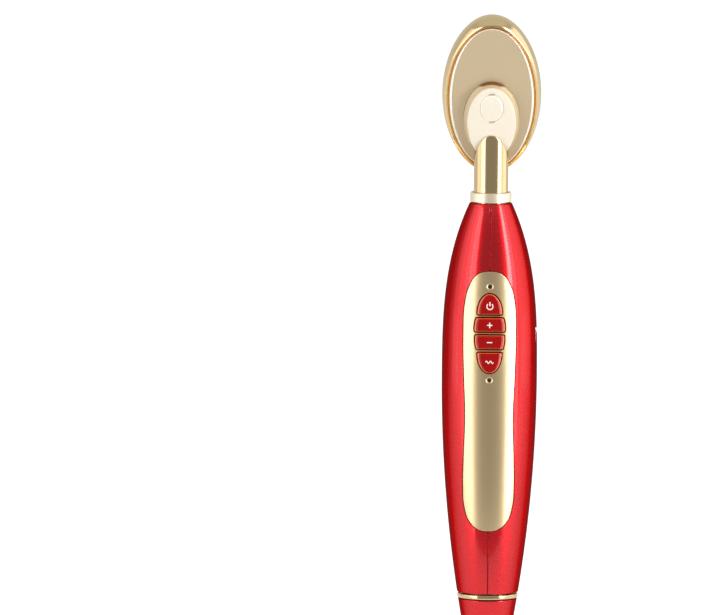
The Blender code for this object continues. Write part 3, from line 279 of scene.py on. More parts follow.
@cache
def build_material(finish: Finish) -> bpy.types.Material:
    """Builds the node material of a finish.

    Args:
        finish: The finish.

    Returns:
        Its material.
    """
    made = bpy.data.materials.new(finish.title())
    made.use_nodes = True
    tree = made.node_tree
    place = node(tree, "TexCoord").outputs["Object"]
    stretch = node(tree, "Mapping", {"Vector": place, "Scale": finish.grain.value}).outputs["Vector"]
    noise = node(tree, "TexNoise", {"Vector": stretch, "Scale": 1.0 / finish.grain_size, "Detail": 3.0})
    grain = noise.outputs["Fac"]
    gloss = (max(0.02, finish.roughness - finish.swing), min(1.0, finish.roughness + finish.swing))
    bump = node(tree, "Bump", {"Strength": RELIEF_STRENGTH, "Distance": finish.relief, "Height": grain})
    shader = tree.nodes["Principled BSDF"]
    feed(shader, {
        "Base Color": base_colour(finish, tree, place, grain),
        "Roughness": ranged(tree, grain, (0.0, 1.0), gloss),
        "Normal": bump.outputs["Normal"],
        "Metallic": finish.metallic,
        "Coat Weight": finish.coat,
        "Coat Roughness": finish.coat_roughness,
        "Coat IOR": finish.coat_ior,
        "Specular IOR Level": finish.level,
        "Transmission Weight": finish.clear,
    })
    if finish.fade:
        turned = node(tree, "LayerWeight", {"Blend": 0.5}).outputs["Facing"]
        faded = finish.coat * (1.0 - finish.fade)
        feed(shader, {"Coat Weight": ranged(tree, turned, FADE_RANGE, (finish.coat, faded))})
    if finish.specular is not None:
        feed(shader, {"Specular Tint": (*finish.specular, 1.0)})
    if finish.glow:
        feed(shader, {"Emission Color": (*finish.colour, 1.0), "Emission Strength": finish.glow})
    return made


# Painted shade: the lacquer's edge colour is a darker red mixed in at grazing angles, darkening its
# silhouette.
RED_LACQUER = Finish(
    "red_body", paint(228, 12, 24), paint(234, 20, 30), 0.27, metallic=0.97, coat=1.0, coat_roughness=0.09,
    edge=paint(150, 12, 16), grain_size=0.6 * MM, relief=0.0004 * MM, flakes=0.12 * MM, fade=0.97,
    specular=paint(150, 30, 30))
# Painted shade: the seam tongue is a darker red than the lacquer, so that the seam reads as a shaded groove.
SEAM_SHADE_RED = Finish(
    "red_body", paint(134, 8, 14), paint(146, 10, 16), 0.4, grain_size=0.4 * MM, level=0.2, name="seam_painted_shade")
# Painted shade: the cap's edge colour is a darker red mixed in at grazing angles.
RED_CAP = Finish(
    "red_button", paint(146, 3, 2), paint(158, 6, 3), 0.2, coat=0.3, edge=paint(136, 6, 3),
    grain_size=0.5 * MM, relief=0.0008 * MM, fade=0.7, level=0.12)
# Painted reflection: the orange band on each button's bevel stands in for the glossy bevel's reflection; its
# lighter orange at grazing angles is a painted highlight, and it glows faintly though it is no lamp.
RED_CAP_EDGE_REFLECTION = Finish(
    "red_button", paint(240, 84, 24), paint(222, 54, 14), 0.2, coat=1.0, edge=paint(250, 150, 70),
    grain_size=0.6 * MM, glow=0.15, name="red_button_edge_reflection")
# The marks' colour is their print; the faint glow on them is painted light, as they are no lamp.
MARK_PRINT = Finish(
    "red_button", paint(250, 226, 224), paint(240, 208, 206), 0.45, grain_size=0.12 * MM, glow=0.15,
    name="button_mark")
PANEL_GOLD = Finish(
    "panel_gold", paint(236, 208, 156), paint(230, 200, 144), 0.32, metallic=1.0, coat=1.0,
    coat_roughness=0.34, grain_size=0.10 * MM, relief=0.0010 * MM, coat_ior=1.8)
POLISHED_GOLD = Finish(
    "polished_gold", paint(230, 204, 156), paint(222, 194, 144), 0.14, swing=0.03, metallic=1.0,
    grain=Grain.DRAWN, grain_size=0.15 * MM, relief=0.0005 * MM)
RIM_GOLD = Finish(
    "polished_gold", paint(238, 216, 170), paint(226, 200, 150), 0.19, swing=0.05, metallic=1.0,
    grain=Grain.CROSSWISE, grain_size=0.12 * MM, relief=0.0008 * MM, name="rim_gold")
SATIN_GOLD = Finish(
    "satin_gold", paint(222, 206, 176), paint(212, 194, 160), 0.3, metallic=1.0, grain=Grain.SPUN,
    grain_size=0.1 * MM, relief=0.001 * MM)
COLLAR_SATIN = Finish(
    "satin_gold", paint(246, 234, 208), paint(234, 218, 188), 0.4, metallic=0.75, grain=Grain.SPUN,
    grain_size=0.12 * MM, relief=0.001 * MM, coat=0.3, coat_roughness=0.3, name="collar_satin")
ORANGE_GOLD = Finish(
    "orange_gold", paint(228, 162, 80), paint(214, 142, 60), 0.24, metallic=0.9, grain_size=0.2 * MM)
CREAM = Finish(
    "cream_plastic", paint(238, 229, 211), paint(234, 223, 202), 0.28, coat=0.35, coat_roughness=0.12,
    grain_size=0.5 * MM, relief=0.0006 * MM)
# Painted highlight: a whiter copy of the cream, put on the rounded bead round the inlay and on the plug's
# rounded edge.
CREAM_EDGE_HIGHLIGHT = Finish(
    "cream_plastic", paint(250, 247, 236), paint(247, 242, 228), 0.18, coat=0.6, coat_roughness=0.08,
    grain_size=0.5 * MM, relief=0.0004 * MM, name="cream_edge_highlight")
# Painted reflection: a darker tan on the boss's slope, standing in for the darker surroundings that the cream
# slope reflects.
STEP_SLOPE_REFLECTION = Finish(
    "cream_plastic", paint(216, 196, 158), paint(208, 186, 146), 0.3, metallic=0.2, coat=0.4,
    coat_roughness=0.15, grain_size=0.3 * MM, relief=0.0006 * MM, name="boss_step_painted_reflection")
# Painted shade: the boss's steep foot is tan, turning brown over its top by height, a painted dark crescent
# where the glossy step would reflect shade.
STEP_SHADE = Finish(
    "cream_plastic", paint(222, 204, 168), paint(214, 194, 156), 0.3, metallic=0.2, coat=0.3,
    coat_roughness=0.15, grain_size=0.3 * MM, relief=0.0006 * MM,
    shade=(paint(140, 84, 46), 84.7 * MM, 85.4 * MM), name="boss_foot")
# Painted highlight: a pale red on the cover's rounded edge, so that its outline catches light.
COVER_EDGE_HIGHLIGHT = Finish(
    "red_body", paint(246, 130, 132), paint(240, 112, 116), 0.3, coat=0.6, grain_size=0.4 * MM,
    name="cover_edge_highlight")
TAN = Finish(
    "tan_inlay", paint(203, 184, 150), paint(197, 178, 144), 0.42, metallic=0.35, grain_size=0.16 * MM,
    relief=0.0010 * MM)
STEEL = Finish(
    "steel", paint(196, 196, 194), paint(176, 176, 176), 0.28, metallic=1.0, grain=Grain.SPUN,
    grain_size=0.12 * MM)
ALUMINIUM = Finish(
    "aluminium", paint(206, 202, 196), paint(190, 186, 180), 0.34, metallic=1.0, grain=Grain.SPUN,
    grain_size=0.1 * MM)
HEATER_FOIL = Finish(
    "heater_foil", paint(196, 128, 62), paint(150, 86, 34), 0.34, metallic=0.85, grain=Grain.CROSSWISE,
    grain_size=0.8 * MM, relief=0.01 * MM)
CIRCUIT_BOARD = Finish(
    "circuit_board", paint(22, 92, 50), paint(40, 120, 62), 0.42, coat=0.4, grain_size=0.7 * MM)
BLACK_PLASTIC = Finish(
    "black_plastic", paint(30, 29, 28), paint(44, 43, 42), 0.46, grain_size=0.15 * MM, relief=0.004 * MM)
DARK_LENS = Finish(
    "dark_lens", paint(22, 18, 16), paint(48, 40, 34), 0.12, coat=1.0, grain_size=0.3 * MM)
CLEAR_PLASTIC = Finish(
    "clear_plastic", paint(224, 224, 220), paint(206, 206, 202), 0.2, clear=0.6, grain_size=0.3 * MM)
BATTERY_WRAP = Finish(
    "battery_wrap", paint(52, 92, 138), paint(44, 80, 124), 0.36, coat=0.3, grain_size=0.4 * MM)
RUBBER = Finish(
    "rubber", paint(52, 52, 54), paint(66, 66, 68), 0.78, grain_size=0.14 * MM, relief=0.006 * MM)
FOAM = Finish(
    "foam", paint(226, 224, 216), paint(196, 194, 188), 0.9, grain_size=0.35 * MM, relief=0.05 * MM)
LEAD_COVER = Finish(
    "lead_insulation", paint(176, 34, 30), paint(150, 22, 20), 0.44, grain_size=0.25 * MM)


# Mesh making

def rounded(points: Ring, radius: float, closed: bool = False, steps: int = 4) -> list[Point]:
    """Rounds the corners of a line that turn by more than a little.

    Args:
        points: Corners of the line.
        radius: How far along each side the rounding starts, at most.
        closed: True if the line returns to its start.
        steps: Straight pieces in each rounded corner.

    Returns:
        The line with its corners rounded.
    """
    count = len(points)
    out: list[Point] = []
    for index, corner in enumerate(points):
        if not closed and index in (0, count - 1):
            out.append(tuple(corner))
            continue
        here = Vector(corner)
        before = Vector(points[index - 1]) - here
        after = Vector(points[(index + 1) % count]) - here
        if before.length < 1e-9 or after.length < 1e-9 or math.pi - before.angle(after) < math.radians(25.0):
            out.append(tuple(corner))
            continue
        start = here + before.normalized() * min(radius, 0.45 * before.length)
        end = here + after.normalized() * min(radius, 0.45 * after.length)
        for step in range(steps + 1):
            t = step / steps
            spot = start * (1.0 - t) ** 2 + here * 2.0 * t * (1.0 - t) + end * t * t
            out.append((spot.x, spot.y))
    return out


def grown(points: Ring, amount: float) -> list[Point]:
    """Moves a closed outline outwards along its normals.

    Args:
        points: The outline, counter-clockwise.
        amount: How far it moves; a negative amount draws it in.

    Returns:
        The moved outline, point for point.
    """
    count = len(points)
    out: list[Point] = []
    for index in range(count):
        one = Vector(points[index]) - Vector(points[index - 1])
        two = Vector(points[(index + 1) % count]) - Vector(points[index])
        one, two = one.normalized(), two.normalized()
        mitre = Vector((one.y + two.y, -one.x - two.x))
        scale = 2.0 / max(mitre.length_squared, 1.0)
        out.append((points[index][0] + mitre.x * scale * amount, points[index][1] + mitre.y * scale * amount))
    return out


def divided(points: Ring, pitch: float) -> list[Point]:
    """Adds points along the long sides of a closed outline.

    Args:
        points: The outline.
        pitch: Longest side left undivided.

    Returns:
        The outline with more points.
    """
    out: list[Point] = []
    for index, here in enumerate(points):
        after = points[(index + 1) % len(points)]
        pieces = max(1, math.ceil(math.dist(here, after) / pitch))
        for step in range(pieces):
            t = step / pieces
            out.append((here[0] + (after[0] - here[0]) * t, here[1] + (after[1] - here[1]) * t))
    return out


def arc(centre: Point, radii: Point, start: float, end: float, steps: int = 24) -> list[Point]:
    """Points along part of an ellipse.

    Args:
        centre: Centre of the ellipse.
        radii: Its two radii.
        start: First angle, in turns.
        end: Last angle, in turns.
        steps: Straight pieces in the arc.

    Returns:
        The points from start to end.
    """
    angles = (TURN * (start + (end - start) * index / steps) for index in range(steps + 1))
    (x, y), (wide, high) = centre, radii
    return [(x + wide * math.cos(angle), y + high * math.sin(angle)) for angle in angles]


def smooth_outline(knots: Ring, resolution: int = 12) -> list[Point]:
    """A smooth closed outline through knots, as Blender's automatic Bezier handles draw it.

    Args:
        knots: The points that the outline goes through.
        resolution: Straight pieces between two knots.

    Returns:
        The outline's points.
    """
    curve = bpy.data.curves.new("outline", "CURVE")
    curve.dimensions = "2D"
    curve.fill_mode = "NONE"
    curve.resolution_u = resolution
    curve.render_resolution_u = resolution
    spline = curve.splines.new("BEZIER")
    spline.bezier_points.add(len(knots) - 1)
    for knot, (across, along) in zip(spline.bezier_points, knots):
        knot.co = (across, along, 0.0)
        knot.handle_left_type = "AUTO"
        knot.handle_right_type = "AUTO"
    spline.use_cyclic_u = True
    drawn = bpy.data.objects.new("outline", curve)
    bpy.context.scene.collection.objects.link(drawn)
    mesh = bpy.data.meshes.new_from_object(drawn.evaluated_get(bpy.context.evaluated_depsgraph_get()))
    points = [(point.co.x, point.co.y) for point in mesh.vertices]
    bpy.data.objects.remove(drawn)
    return points


@dataclass
class Shape:
    """A mesh in the making: points, faces and the material number of each face."""

    points: list[Vector] = field(default_factory=list)
    faces: list[tuple[int, ...]] = field(default_factory=list)
    parts: list[int] = field(default_factory=list)

    def ring(self, points: Iterable[Sequence[float]]) -> list[int]:
        """Adds a row of points and returns their numbers."""
        first = len(self.points)
        self.points += [Vector(point) for point in points]
        return list(range(first, len(self.points)))

    def face(self, corners: Sequence[int], part: int = 0) -> None:
        """Adds one face."""
        self.faces.append(tuple(corners))
        self.parts.append(part)

    def strip(self, one: Sequence[int], two: Sequence[int], closed: bool = True, part: int = 0) -> None:
        """Joins two rows of points with a strip of faces.

        Args:
            one: First row.
            two: Second row, with as many points.
            closed: True if the rows are rings.
            part: Material number of the strip.
        """
        count = len(one)
        for index in range(count if closed else count - 1):
            after = (index + 1) % count
            self.face((one[index], one[after], two[after], two[index]), part)

    def bands(self, rows: Sequence[Sequence[int]], closed: bool, parts: Sequence[int] | None) -> None:
        """Joins rings of points one after another; a ring may be one point repeated.

        Args:
            rows: The rings.
            closed: True if the last one is joined to the first.
            parts: Material number of each band, or None.
        """
        pairs = list(zip(rows, rows[1:]))
        if closed:
            pairs.append((rows[-1], rows[0]))
        for number, (one, two) in enumerate(pairs):
            part = parts[number] if parts else 0
            for index, here in enumerate(one):
                after = (index + 1) % len(one)
                corners = dict.fromkeys((here, one[after], two[after], two[index]))
                if len(corners) > 2:
                    self.face(tuple(corners), part)

    def cap(self, outline: Ring, place: Callable[[float, float], Sequence[float]], pitch: float,
            part: int = 0) -> None:
        """Closes an outline with triangles small enough to follow a curved skin.

        Args:
            outline: The outline in the skin's two coordinates.
            place: Gives the point of the skin at two coordinates.
            pitch: Spacing of the points inside.
            part: Material number of the cap.
        """
        flat = [Vector(point) / MM for point in outline]
        low = Vector((min(point.x for point in flat), min(point.y for point in flat)))
        high = Vector((max(point.x for point in flat), max(point.y for point in flat)))
        edges = [(index, (index + 1) % len(flat)) for index in range(len(flat))]
        space = pitch / MM
        inside = inside_points(flat, low, high, space)
        points, _, faces, *_ = delaunay_2d_cdt(flat + inside, edges, [], 1, 1e-5)
        numbers = self.ring(place(point.x * MM, point.y * MM) for point in points)
        for corners in faces:
            self.face([numbers[corner] for corner in corners], part)

    def bake(self, name: str, materials: Sequence[bpy.types.Material],
             angle: float = SHARP_ANGLE) -> bpy.types.Object:
        """Makes the object, smooth but for its sharp edges.

        Args:
            name: Name of the piece.
            materials: Its materials, by part number.
            angle: Edges that turn by more stay sharp.

        Returns:
            The new object.
        """
        mesh = bpy.data.meshes.new(name)
        mesh.from_pydata(self.points, [], self.faces)
        for finish in materials:
            mesh.materials.append(finish)
        mesh.polygons.foreach_set("material_index", self.parts)
        work = bmesh.new()
        work.from_mesh(mesh)
        bmesh.ops.remove_doubles(work, verts=work.verts, dist=WELD)
        bmesh.ops.recalc_face_normals(work, faces=work.faces)
        work.to_mesh(mesh)
        work.free()
        made = bpy.data.objects.new(name, mesh)
        bpy.context.scene.collection.objects.link(made)
        smooth(made, angle)
        return made


def inside_points(outline: Sequence[Vector], low: Vector, high: Vector, space: float) -> list[Vector]:
    """Grid points inside an outline, none of them close to it.

    Args:
        outline: The outline.
        low: Its lowest corner.
        high: Its highest corner.
        space: Grid spacing.

    Returns:
        The grid points.
    """
    found = []
    count = len(outline)
    rows = int((high.y - low.y) / space)
    columns = int((high.x - low.x) / space)
    for row in range(1, rows + 1):
        level = low.y + (row - 0.5) * space
        crossings = []
        for index in range(count):
            one, two = outline[index], outline[(index + 1) % count]
            if (one.y > level) != (two.y > level):
                crossings.append(one.x + (level - one.y) / (two.y - one.y) * (two.x - one.x))
        crossings.sort()
        for start, end in zip(crossings[::2], crossings[1::2]):
            for column in range(columns + 2):
                across = low.x + (column + 0.5 * (row % 2)) * space
                if start + 0.45 * space < across < end - 0.45 * space:
                    found.append(Vector((across, level)))
    return found


def smooth(made: bpy.types.Object, angle: float = SHARP_ANGLE) -> None:
    """Shades a mesh smooth with sharp edges, its normals weighted by face area.

    Args:
        made: The object.
        angle: Edges that turn by more stay sharp.
    """
    made.data.shade_smooth()
    made.data.set_sharp_from_angle(angle=angle)
    weigh = made.modifiers.new("weighted_normals", "WEIGHTED_NORMAL")
    weigh.keep_sharp = True
    weigh.weight = 60


def carve(made: bpy.types.Object, other: bpy.types.Object, operation: str = "DIFFERENCE") -> bpy.types.Object:
    """Applies one exact Boolean to a piece and removes the other solid.

    Args:
        made: The piece.
        other: The other solid, which goes.
        operation: DIFFERENCE, UNION or INTERSECT.

    Returns:
        The piece.
    """
    step = made.modifiers.new(operation.lower(), "BOOLEAN")
    step.operation = operation
    step.solver = "EXACT"
    step.object = other
    made.modifiers.move(len(made.modifiers) - 1, 0)
    with bpy.context.temp_override(object=made, active_object=made, selected_objects=[made]):
        bpy.ops.object.modifier_apply(modifier=step.name)
    bpy.data.objects.remove(other)
    made.data.shade_smooth()
    made.data.set_sharp_from_angle(angle=SHARP_ANGLE)
    return made


def circle(radius: float, height: float, steps: int) -> list[tuple[float, float, float]]:
    """Points of a level circle round the Z axis."""
    angles = (TURN * index / steps for index in range(steps))
    return [(radius * math.cos(angle), radius * math.sin(angle), height) for angle in angles]


def lathe(name: str, profile: Ring, finishes: Sequence[Finish], steps: int = 96, closed: bool = False,
          where: Matrix | None = None, parts: Sequence[int] | None = None) -> bpy.types.Object:
    """A turned piece about its own Z axis.

    Args:
        name: Name of the piece.
        profile: Radius and height of each point; a radius of 0 lies on the axis.
        finishes: Its finishes.
        steps: Points round it.
        closed: True if the profile is a closed ring section.
        where: Where the turned piece's own axes stand, or None for the row's.
        parts: Finish number of each stretch of the profile, or None.

    Returns:
        The object.
    """
    shape = Shape()
    rows = []
    for radius, height in profile:
        if radius < WELD:
            rows.append(shape.ring([(0.0, 0.0, height)]) * steps)
        else:
            rows.append(shape.ring(circle(radius, height, steps)))
    shape.bands(rows, closed, parts)
    if where is not None:
        shape.points = [where @ point for point in shape.points]
    return shape.bake(name, [finish.material() for finish in finishes])


def swept(name: str, path: Sequence[Sequence[float]], radius: float, finish: Finish,
          sides: int = 12) -> bpy.types.Object:
    """A round wire along a path, as a mesh.

    Args:
        name: Name of the piece.
        path: Points of its centreline.
        radius: Radius of the wire.
        finish: Its finish.
        sides: Points round it.

    Returns:
        The object.
    """
    shape = Shape()
    line = [Vector(point) for point in path]
    rows = []
    across = Vector((0.0, 0.0, 1.0))
    for index, here in enumerate(line):
        along = (line[min(index + 1, len(line) - 1)] - line[max(index - 1, 0)]).normalized()
        across = across - along * across.dot(along)
        if across.length < 1e-4:
            across = along.orthogonal()
        across.normalize()
        other = along.cross(across)
        angles = (TURN * side / sides for side in range(sides))
        rows.append(shape.ring(here + (across * math.cos(a) + other * math.sin(a)) * radius for a in angles))
    for one, two in zip(rows, rows[1:]):
        shape.strip(one, two)
    shape.face(rows[0])
    shape.face(rows[-1])
    return shape.bake(name, [finish.material()])


def fitted(made: bpy.types.Object, body: str, slot: str, *nodes: str) -> bpy.types.Object:
    """Lets a finished piece ride on a body and stand for its nodes.

    Args:
        made: The piece, in place.
        body: The body that it rides on.
        slot: The record's material slot; not used.
        nodes: The CAD nodes that it stands for.

    Returns:
        The piece.
    """
    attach(made, body)
    if nodes:
        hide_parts(*nodes)
    LOG.info("%s rides on %s%s", made.name, body, f", for {', '.join(nodes)}" if nodes else "")
    return made


def dressed(finish: Finish, *nodes: str) -> None:
    """Gives carried-over CAD nodes a finish in their own material slots.

    Args:
        finish: The finish.
        nodes: The nodes.
    """
    for name in nodes:
        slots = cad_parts[name].material_slots
        for place in slots:
            place.link = "DATA"
            place.material = finish.material()
        LOG.info("%s keeps its CAD shape in %s", name, finish.title())


# The handle's skin

@dataclass(frozen=True)
class Skin:
    """The handle's outer surface: fullest at the grip, slimmer to the neck and to the tail."""

    radius: float = 13.8 * MM
    top: float = 50.3 * MM
    bottom: float = -63.0 * MM
    neck_taper: float = 7.7 * MM
    tail_taper: float = 4.95 * MM

    def at(self, height: float) -> float:
        """Radius at a height."""
        if height > 0.0:
            return self.radius - self.neck_taper * (height / self.top) ** 3
        return self.radius - self.tail_taper * (height / self.bottom) ** 2

    def normal(self, point: Vector) -> Vector:
        """Direction straight out of the skin at a point on it."""
        step = 0.01 * MM
        slope = (self.at(point.z + step) - self.at(point.z - step)) / (2.0 * step)
        radial = Vector((point.x, point.y, 0.0)).normalized()
        return Vector((radial.x, radial.y, -slope)).normalized()

    def front(self, across: float, along: float, depth: float) -> Vector:
        """Point under the front of the skin at an X, a Z and a depth."""
        radius = self.at(along) - depth
        return Vector((across, -math.sqrt(max(radius ** 2 - across ** 2, 0.0)), along))

    def right(self, across: float, along: float, depth: float) -> Vector:
        """Point under the right side of the skin at a Y, a Z and a depth."""
        radius = self.at(along) - depth
        return Vector((math.sqrt(max(radius ** 2 - across ** 2, 0.0)), across, along))

    def true_normals(self, made: bpy.types.Object, depth: float = 0.0, tolerance: float = 0.012 * MM) -> None:
        """Gives every face that lies on the skin the skin's own normals.

        Args:
            made: The piece.
            depth: Depth of the surface under the skin.
            tolerance: How far off the surface a corner may lie.
        """
        mesh = made.data
        on_skin = [
            abs(math.hypot(point.co.x, point.co.y) - self.at(point.co.z) + depth) < tolerance
            for point in mesh.vertices]
        normals = [Vector((0.0, 0.0, 0.0))] * len(mesh.loops)
        for face in mesh.polygons:
            if all(on_skin[corner] for corner in face.vertices):
                for loop, corner in zip(face.loop_indices, face.vertices):
                    normals[loop] = self.normal(mesh.vertices[corner].co)
        mesh.normals_split_custom_set(normals)


SKIN = Skin()
Placing = Callable[[float, float, float], Vector]
Level = tuple[Ring, float]


def plate(name: str, levels: Sequence[Level], place: Placing, finishes: Sequence[Finish],
          pitch: float = 0.7 * MM, parts: Sequence[int] | None = None) -> bpy.types.Object:
    """A solid that follows the handle's skin, its outline given level by level.

    Args:
        name: Name of the piece.
        levels: Outline and depth of each level, from the innermost to the outermost.
        place: Puts two coordinates and a depth on the skin.
        finishes: Its finishes.
        pitch: Spacing of the points inside its faces.
        parts: Finish number of each band between two levels, then of the outer face, or None.

    Returns:
        The object.
    """
    shape = Shape()
    rows = [shape.ring(place(u, v, depth) for u, v in outline) for outline, depth in levels]
    for number, (one, two) in enumerate(zip(rows, rows[1:])):
        shape.strip(one, two, part=parts[number] if parts else 0)
    (inner, low), (outer, high) = levels[0], levels[-1]
    shape.cap(inner, lambda u, v: place(u, v, low), 2.0 * pitch)
    shape.cap(outer, lambda u, v: place(u, v, high), pitch, parts[-1] if parts else 0)
    return shape.bake(name, [finish.material() for finish in finishes])


def eased(outline: Ring, height: float, thickness: float, ease: float, steps: int = 4) -> list[Level]:
    """Levels of a plate with a rounded outer edge.

    Args:
        outline: The plate's outline.
        height: Depth of its outer face under the skin.
        thickness: Its thickness.
        ease: Radius of the rounded edge.
        steps: Bands in the rounding.

    Returns:
        The levels, from the inner face out.
    """
    levels = [(outline, height + thickness)]
    for step in range(steps + 1):
        angle = 0.25 * TURN * step / steps
        inward = ease * (1.0 - math.cos(angle))
        levels.append((grown(outline, -inward), height + ease * (1.0 - math.sin(angle))))
    return levels


def opening(outline: Ring, floor: float, ease: float, over: float = 0.3 * MM) -> list[Level]:
    """Levels of a cutter for an opening in the skin, with a small chamfer at its mouth.

    Args:
        outline: The opening's outline.
        floor: Depth that it reaches.
        ease: Width of the chamfer.
        over: How far it starts over the skin.

    Returns:
        The levels, from the deepest out.
    """
    mouth = [(grown(outline, ease), 0.0), (grown(outline, ease + over), -over)]
    return [(outline, floor), (outline, ease), *mouth]


# Shared outlines

@dataclass(frozen=True)
class PanelOutline:
    """The control panel's outline: a domed top, a waist and a rounder foot."""

    top: float = 31.4 * MM
    length: float = 75.6 * MM
    half_width: float = 7.65 * MM
    shares: tuple[Point, ...] = (
        (0.50, 0.014), (0.78, 0.056), (0.945, 0.12), (1.0, 0.245), (0.975, 0.375), (0.91, 0.555),
        (0.95, 0.72), (0.965, 0.82), (0.90, 0.91), (0.70, 0.965), (0.38, 0.993))

    def points(self) -> list[Point]:
        """The outline's points in X and Z, counter-clockwise."""
        side = [(width * self.half_width, self.top - down * self.length) for width, down in self.shares]
        left = [(-across, along) for across, along in side]
        return smooth_outline([(0.0, self.top), *left, (0.0, self.top - self.length), *side[::-1]])


class Button(Enum):
    """The four buttons: name, width, height and middle height of each."""

    POWER = ("power", 7.1 * MM, 5.9 * MM, 22.05 * MM)
    PLUS = ("plus", 9.1 * MM, 3.85 * MM, 16.075 * MM)
    MINUS = ("minus", 8.8 * MM, 3.95 * MM, 11.075 * MM)
    MODE = ("mode", 7.0 * MM, 5.9 * MM, 5.05 * MM)

    def outline(self, grow: float = 0.0) -> list[Point]:
        """The button's outline in X and Z.

        Args:
            grow: How much larger it is all round.

        Returns:
            The outline, counter-clockwise.
        """
        _, width, height, middle = self.value
        half_width, half_height = 0.5 * width, 0.5 * height
        corner = 0.55 * MM
        if self in (Button.POWER, Button.MODE):
            shoulder = -0.92 * half_height
            points = [(half_width, -half_height)]
            points += arc((0.0, shoulder), (half_width, half_height - shoulder), 0.0, 0.5, 40)
            points += [(-half_width, -half_height)]
        else:
            bulge = 0.08 * half_width
            right = arc((half_width - bulge, 0.0), (bulge, half_height), -0.25, 0.25, 12)
            points = right + [(-across, -along) for across, along in right]
            way = 1.0 if self is Button.PLUS else -1.0
            lean = 0.05
            points = [(across * (1.0 - lean * (1.0 + way * along / half_height)), along)
                      for across, along in points]
        if self is Button.MODE:
            points = [(-across, -along) for across, along in points]
        points = [(across, middle + along) for across, along in rounded(points, corner, True, 5)]
        return grown(points, grow) if grow else points

    def middle(self) -> float:
        """Height of the button's middle."""
        return self.value[3]

    def drawn_in(self, share: float, side: float, end: float) -> list[Point]:
        """The outline with its sides and ends drawn in by a share of their full amounts.

        Args:
            share: The share, from 0 to 1.
            side: How far the sides come in at most.
            end: How far the top and bottom come in at most.

        Returns:
            The outline.
        """
        _, width, height, middle = self.value
        wide, high = 1.0 - share * side / (0.5 * width), 1.0 - share * end / (0.5 * height)
        return [(across * wide, middle + (along - middle) * high) for across, along in self.outline()]


@dataclass(frozen=True)
class CoverOutline:
    """The socket cover's outline in Y and Z: a domed top with a tab that rises to the hinge."""

    half_width: float = 6.6 * MM
    bottom: float = 2.9 * MM
    shoulder: float = 6.9 * MM
    crown: float = 11.0 * MM
    corner: float = 1.6 * MM
    tab_half_width: float = 3.1 * MM
    tab_top: float = 13.3 * MM

    def points(self, grow: float = 0.0) -> list[Point]:
        """The outline's points, counter-clockwise.

        Args:
            grow: How much larger it is all round.

        Returns:
            The outline.
        """
        half, tab = self.half_width, self.tab_half_width
        lean = math.acos(tab / half) / TURN
        corner = (half - self.corner, self.bottom + self.corner)
        right = arc(corner, (self.corner, self.corner), -0.25, 0.0, 10)
        right += arc((0.0, self.shoulder), (half, self.crown - self.shoulder), 0.0, lean, 16)
        right += [(tab, self.tab_top)]
        points = rounded(right + [(-across, along) for across, along in reversed(right)], 0.5 * MM, True, 4)
        return grown(points, grow) if grow else points


@dataclass(frozen=True)
class Light:
    """An indicator light behind the panel."""

    name: str
    height: float
    hole: float = 0.64 * MM
    mouth: float = 0.98 * MM

    def outline(self, radius: float) -> list[Point]:
        """A circle round the light in X and Z."""
        return arc((0.0, self.height), (radius, radius), 0.0, 1.0, 32)[:-1]


PANEL = PanelOutline()
COVER = CoverOutline()
LIGHTS = (Light("upper", 27.1 * MM), Light("lower", 0.0))
HINGE = Vector((12.0 * MM, 0.0, 12.2 * MM))


def bar(name: str, radius: float, low: float, high: float, where: Matrix, finish: Finish, steps: int = 48,
        ease: float = 0.0) -> bpy.types.Object:
    """A round bar between two heights on its own axis.

    Args:
        name: Name of the piece.
        radius: Its radius.
        low: Its lower end.
        high: Its upper end.
        where: Where its axes stand.
        finish: Its finish.
        steps: Points round it.
        ease: Radius of its rounded ends.

    Returns:
        The object.
    """
    profile = [(0.0, high), (radius, high), (radius, low), (0.0, low)]
    if ease:
        profile = rounded(profile, ease)
    return lathe(name, profile, [finish], steps, where=where)


def across_y(place: Vector) -> Matrix:
    """Axes at a place whose own Z runs along the row's -Y."""
    return Matrix.Translation(place) @ Matrix.Rotation(0.25 * TURN, 4, "X")


def along_x(place: Vector) -> Matrix:
    """Axes at a place whose own Z runs along the row's X."""
    return Matrix.Translation(place) @ Matrix.Rotation(0.25 * TURN, 4, "Y")


def rounded_box(name: str, low: Vector, high: Vector, corner: float, finish: Finish) -> bpy.types.Object:
    """A box along X with rounded corners in its YZ section.

    Args:
        name: Name of the piece.
        low: Its lowest corner.
        high: Its highest corner.
        corner: Radius of the corners.
        finish: Its finish.

    Returns:
        The object.
    """
    section = rounded([(low.y, low.z), (high.y, low.z), (high.y, high.z), (low.y, high.z)], corner, True, 6)
    shape = Shape()
    rows = [shape.ring((x, y, z) for y, z in section) for x in (low.x, high.x)]
    shape.strip(*rows)
    shape.face(rows[0])
    shape.face(rows[1])
    return shape.bake(name, [finish.material()])


# The handle

class Side(Enum):
    """The two halves of the handle, by the sign of their X."""

    LEFT = -1.0
    RIGHT = 1.0


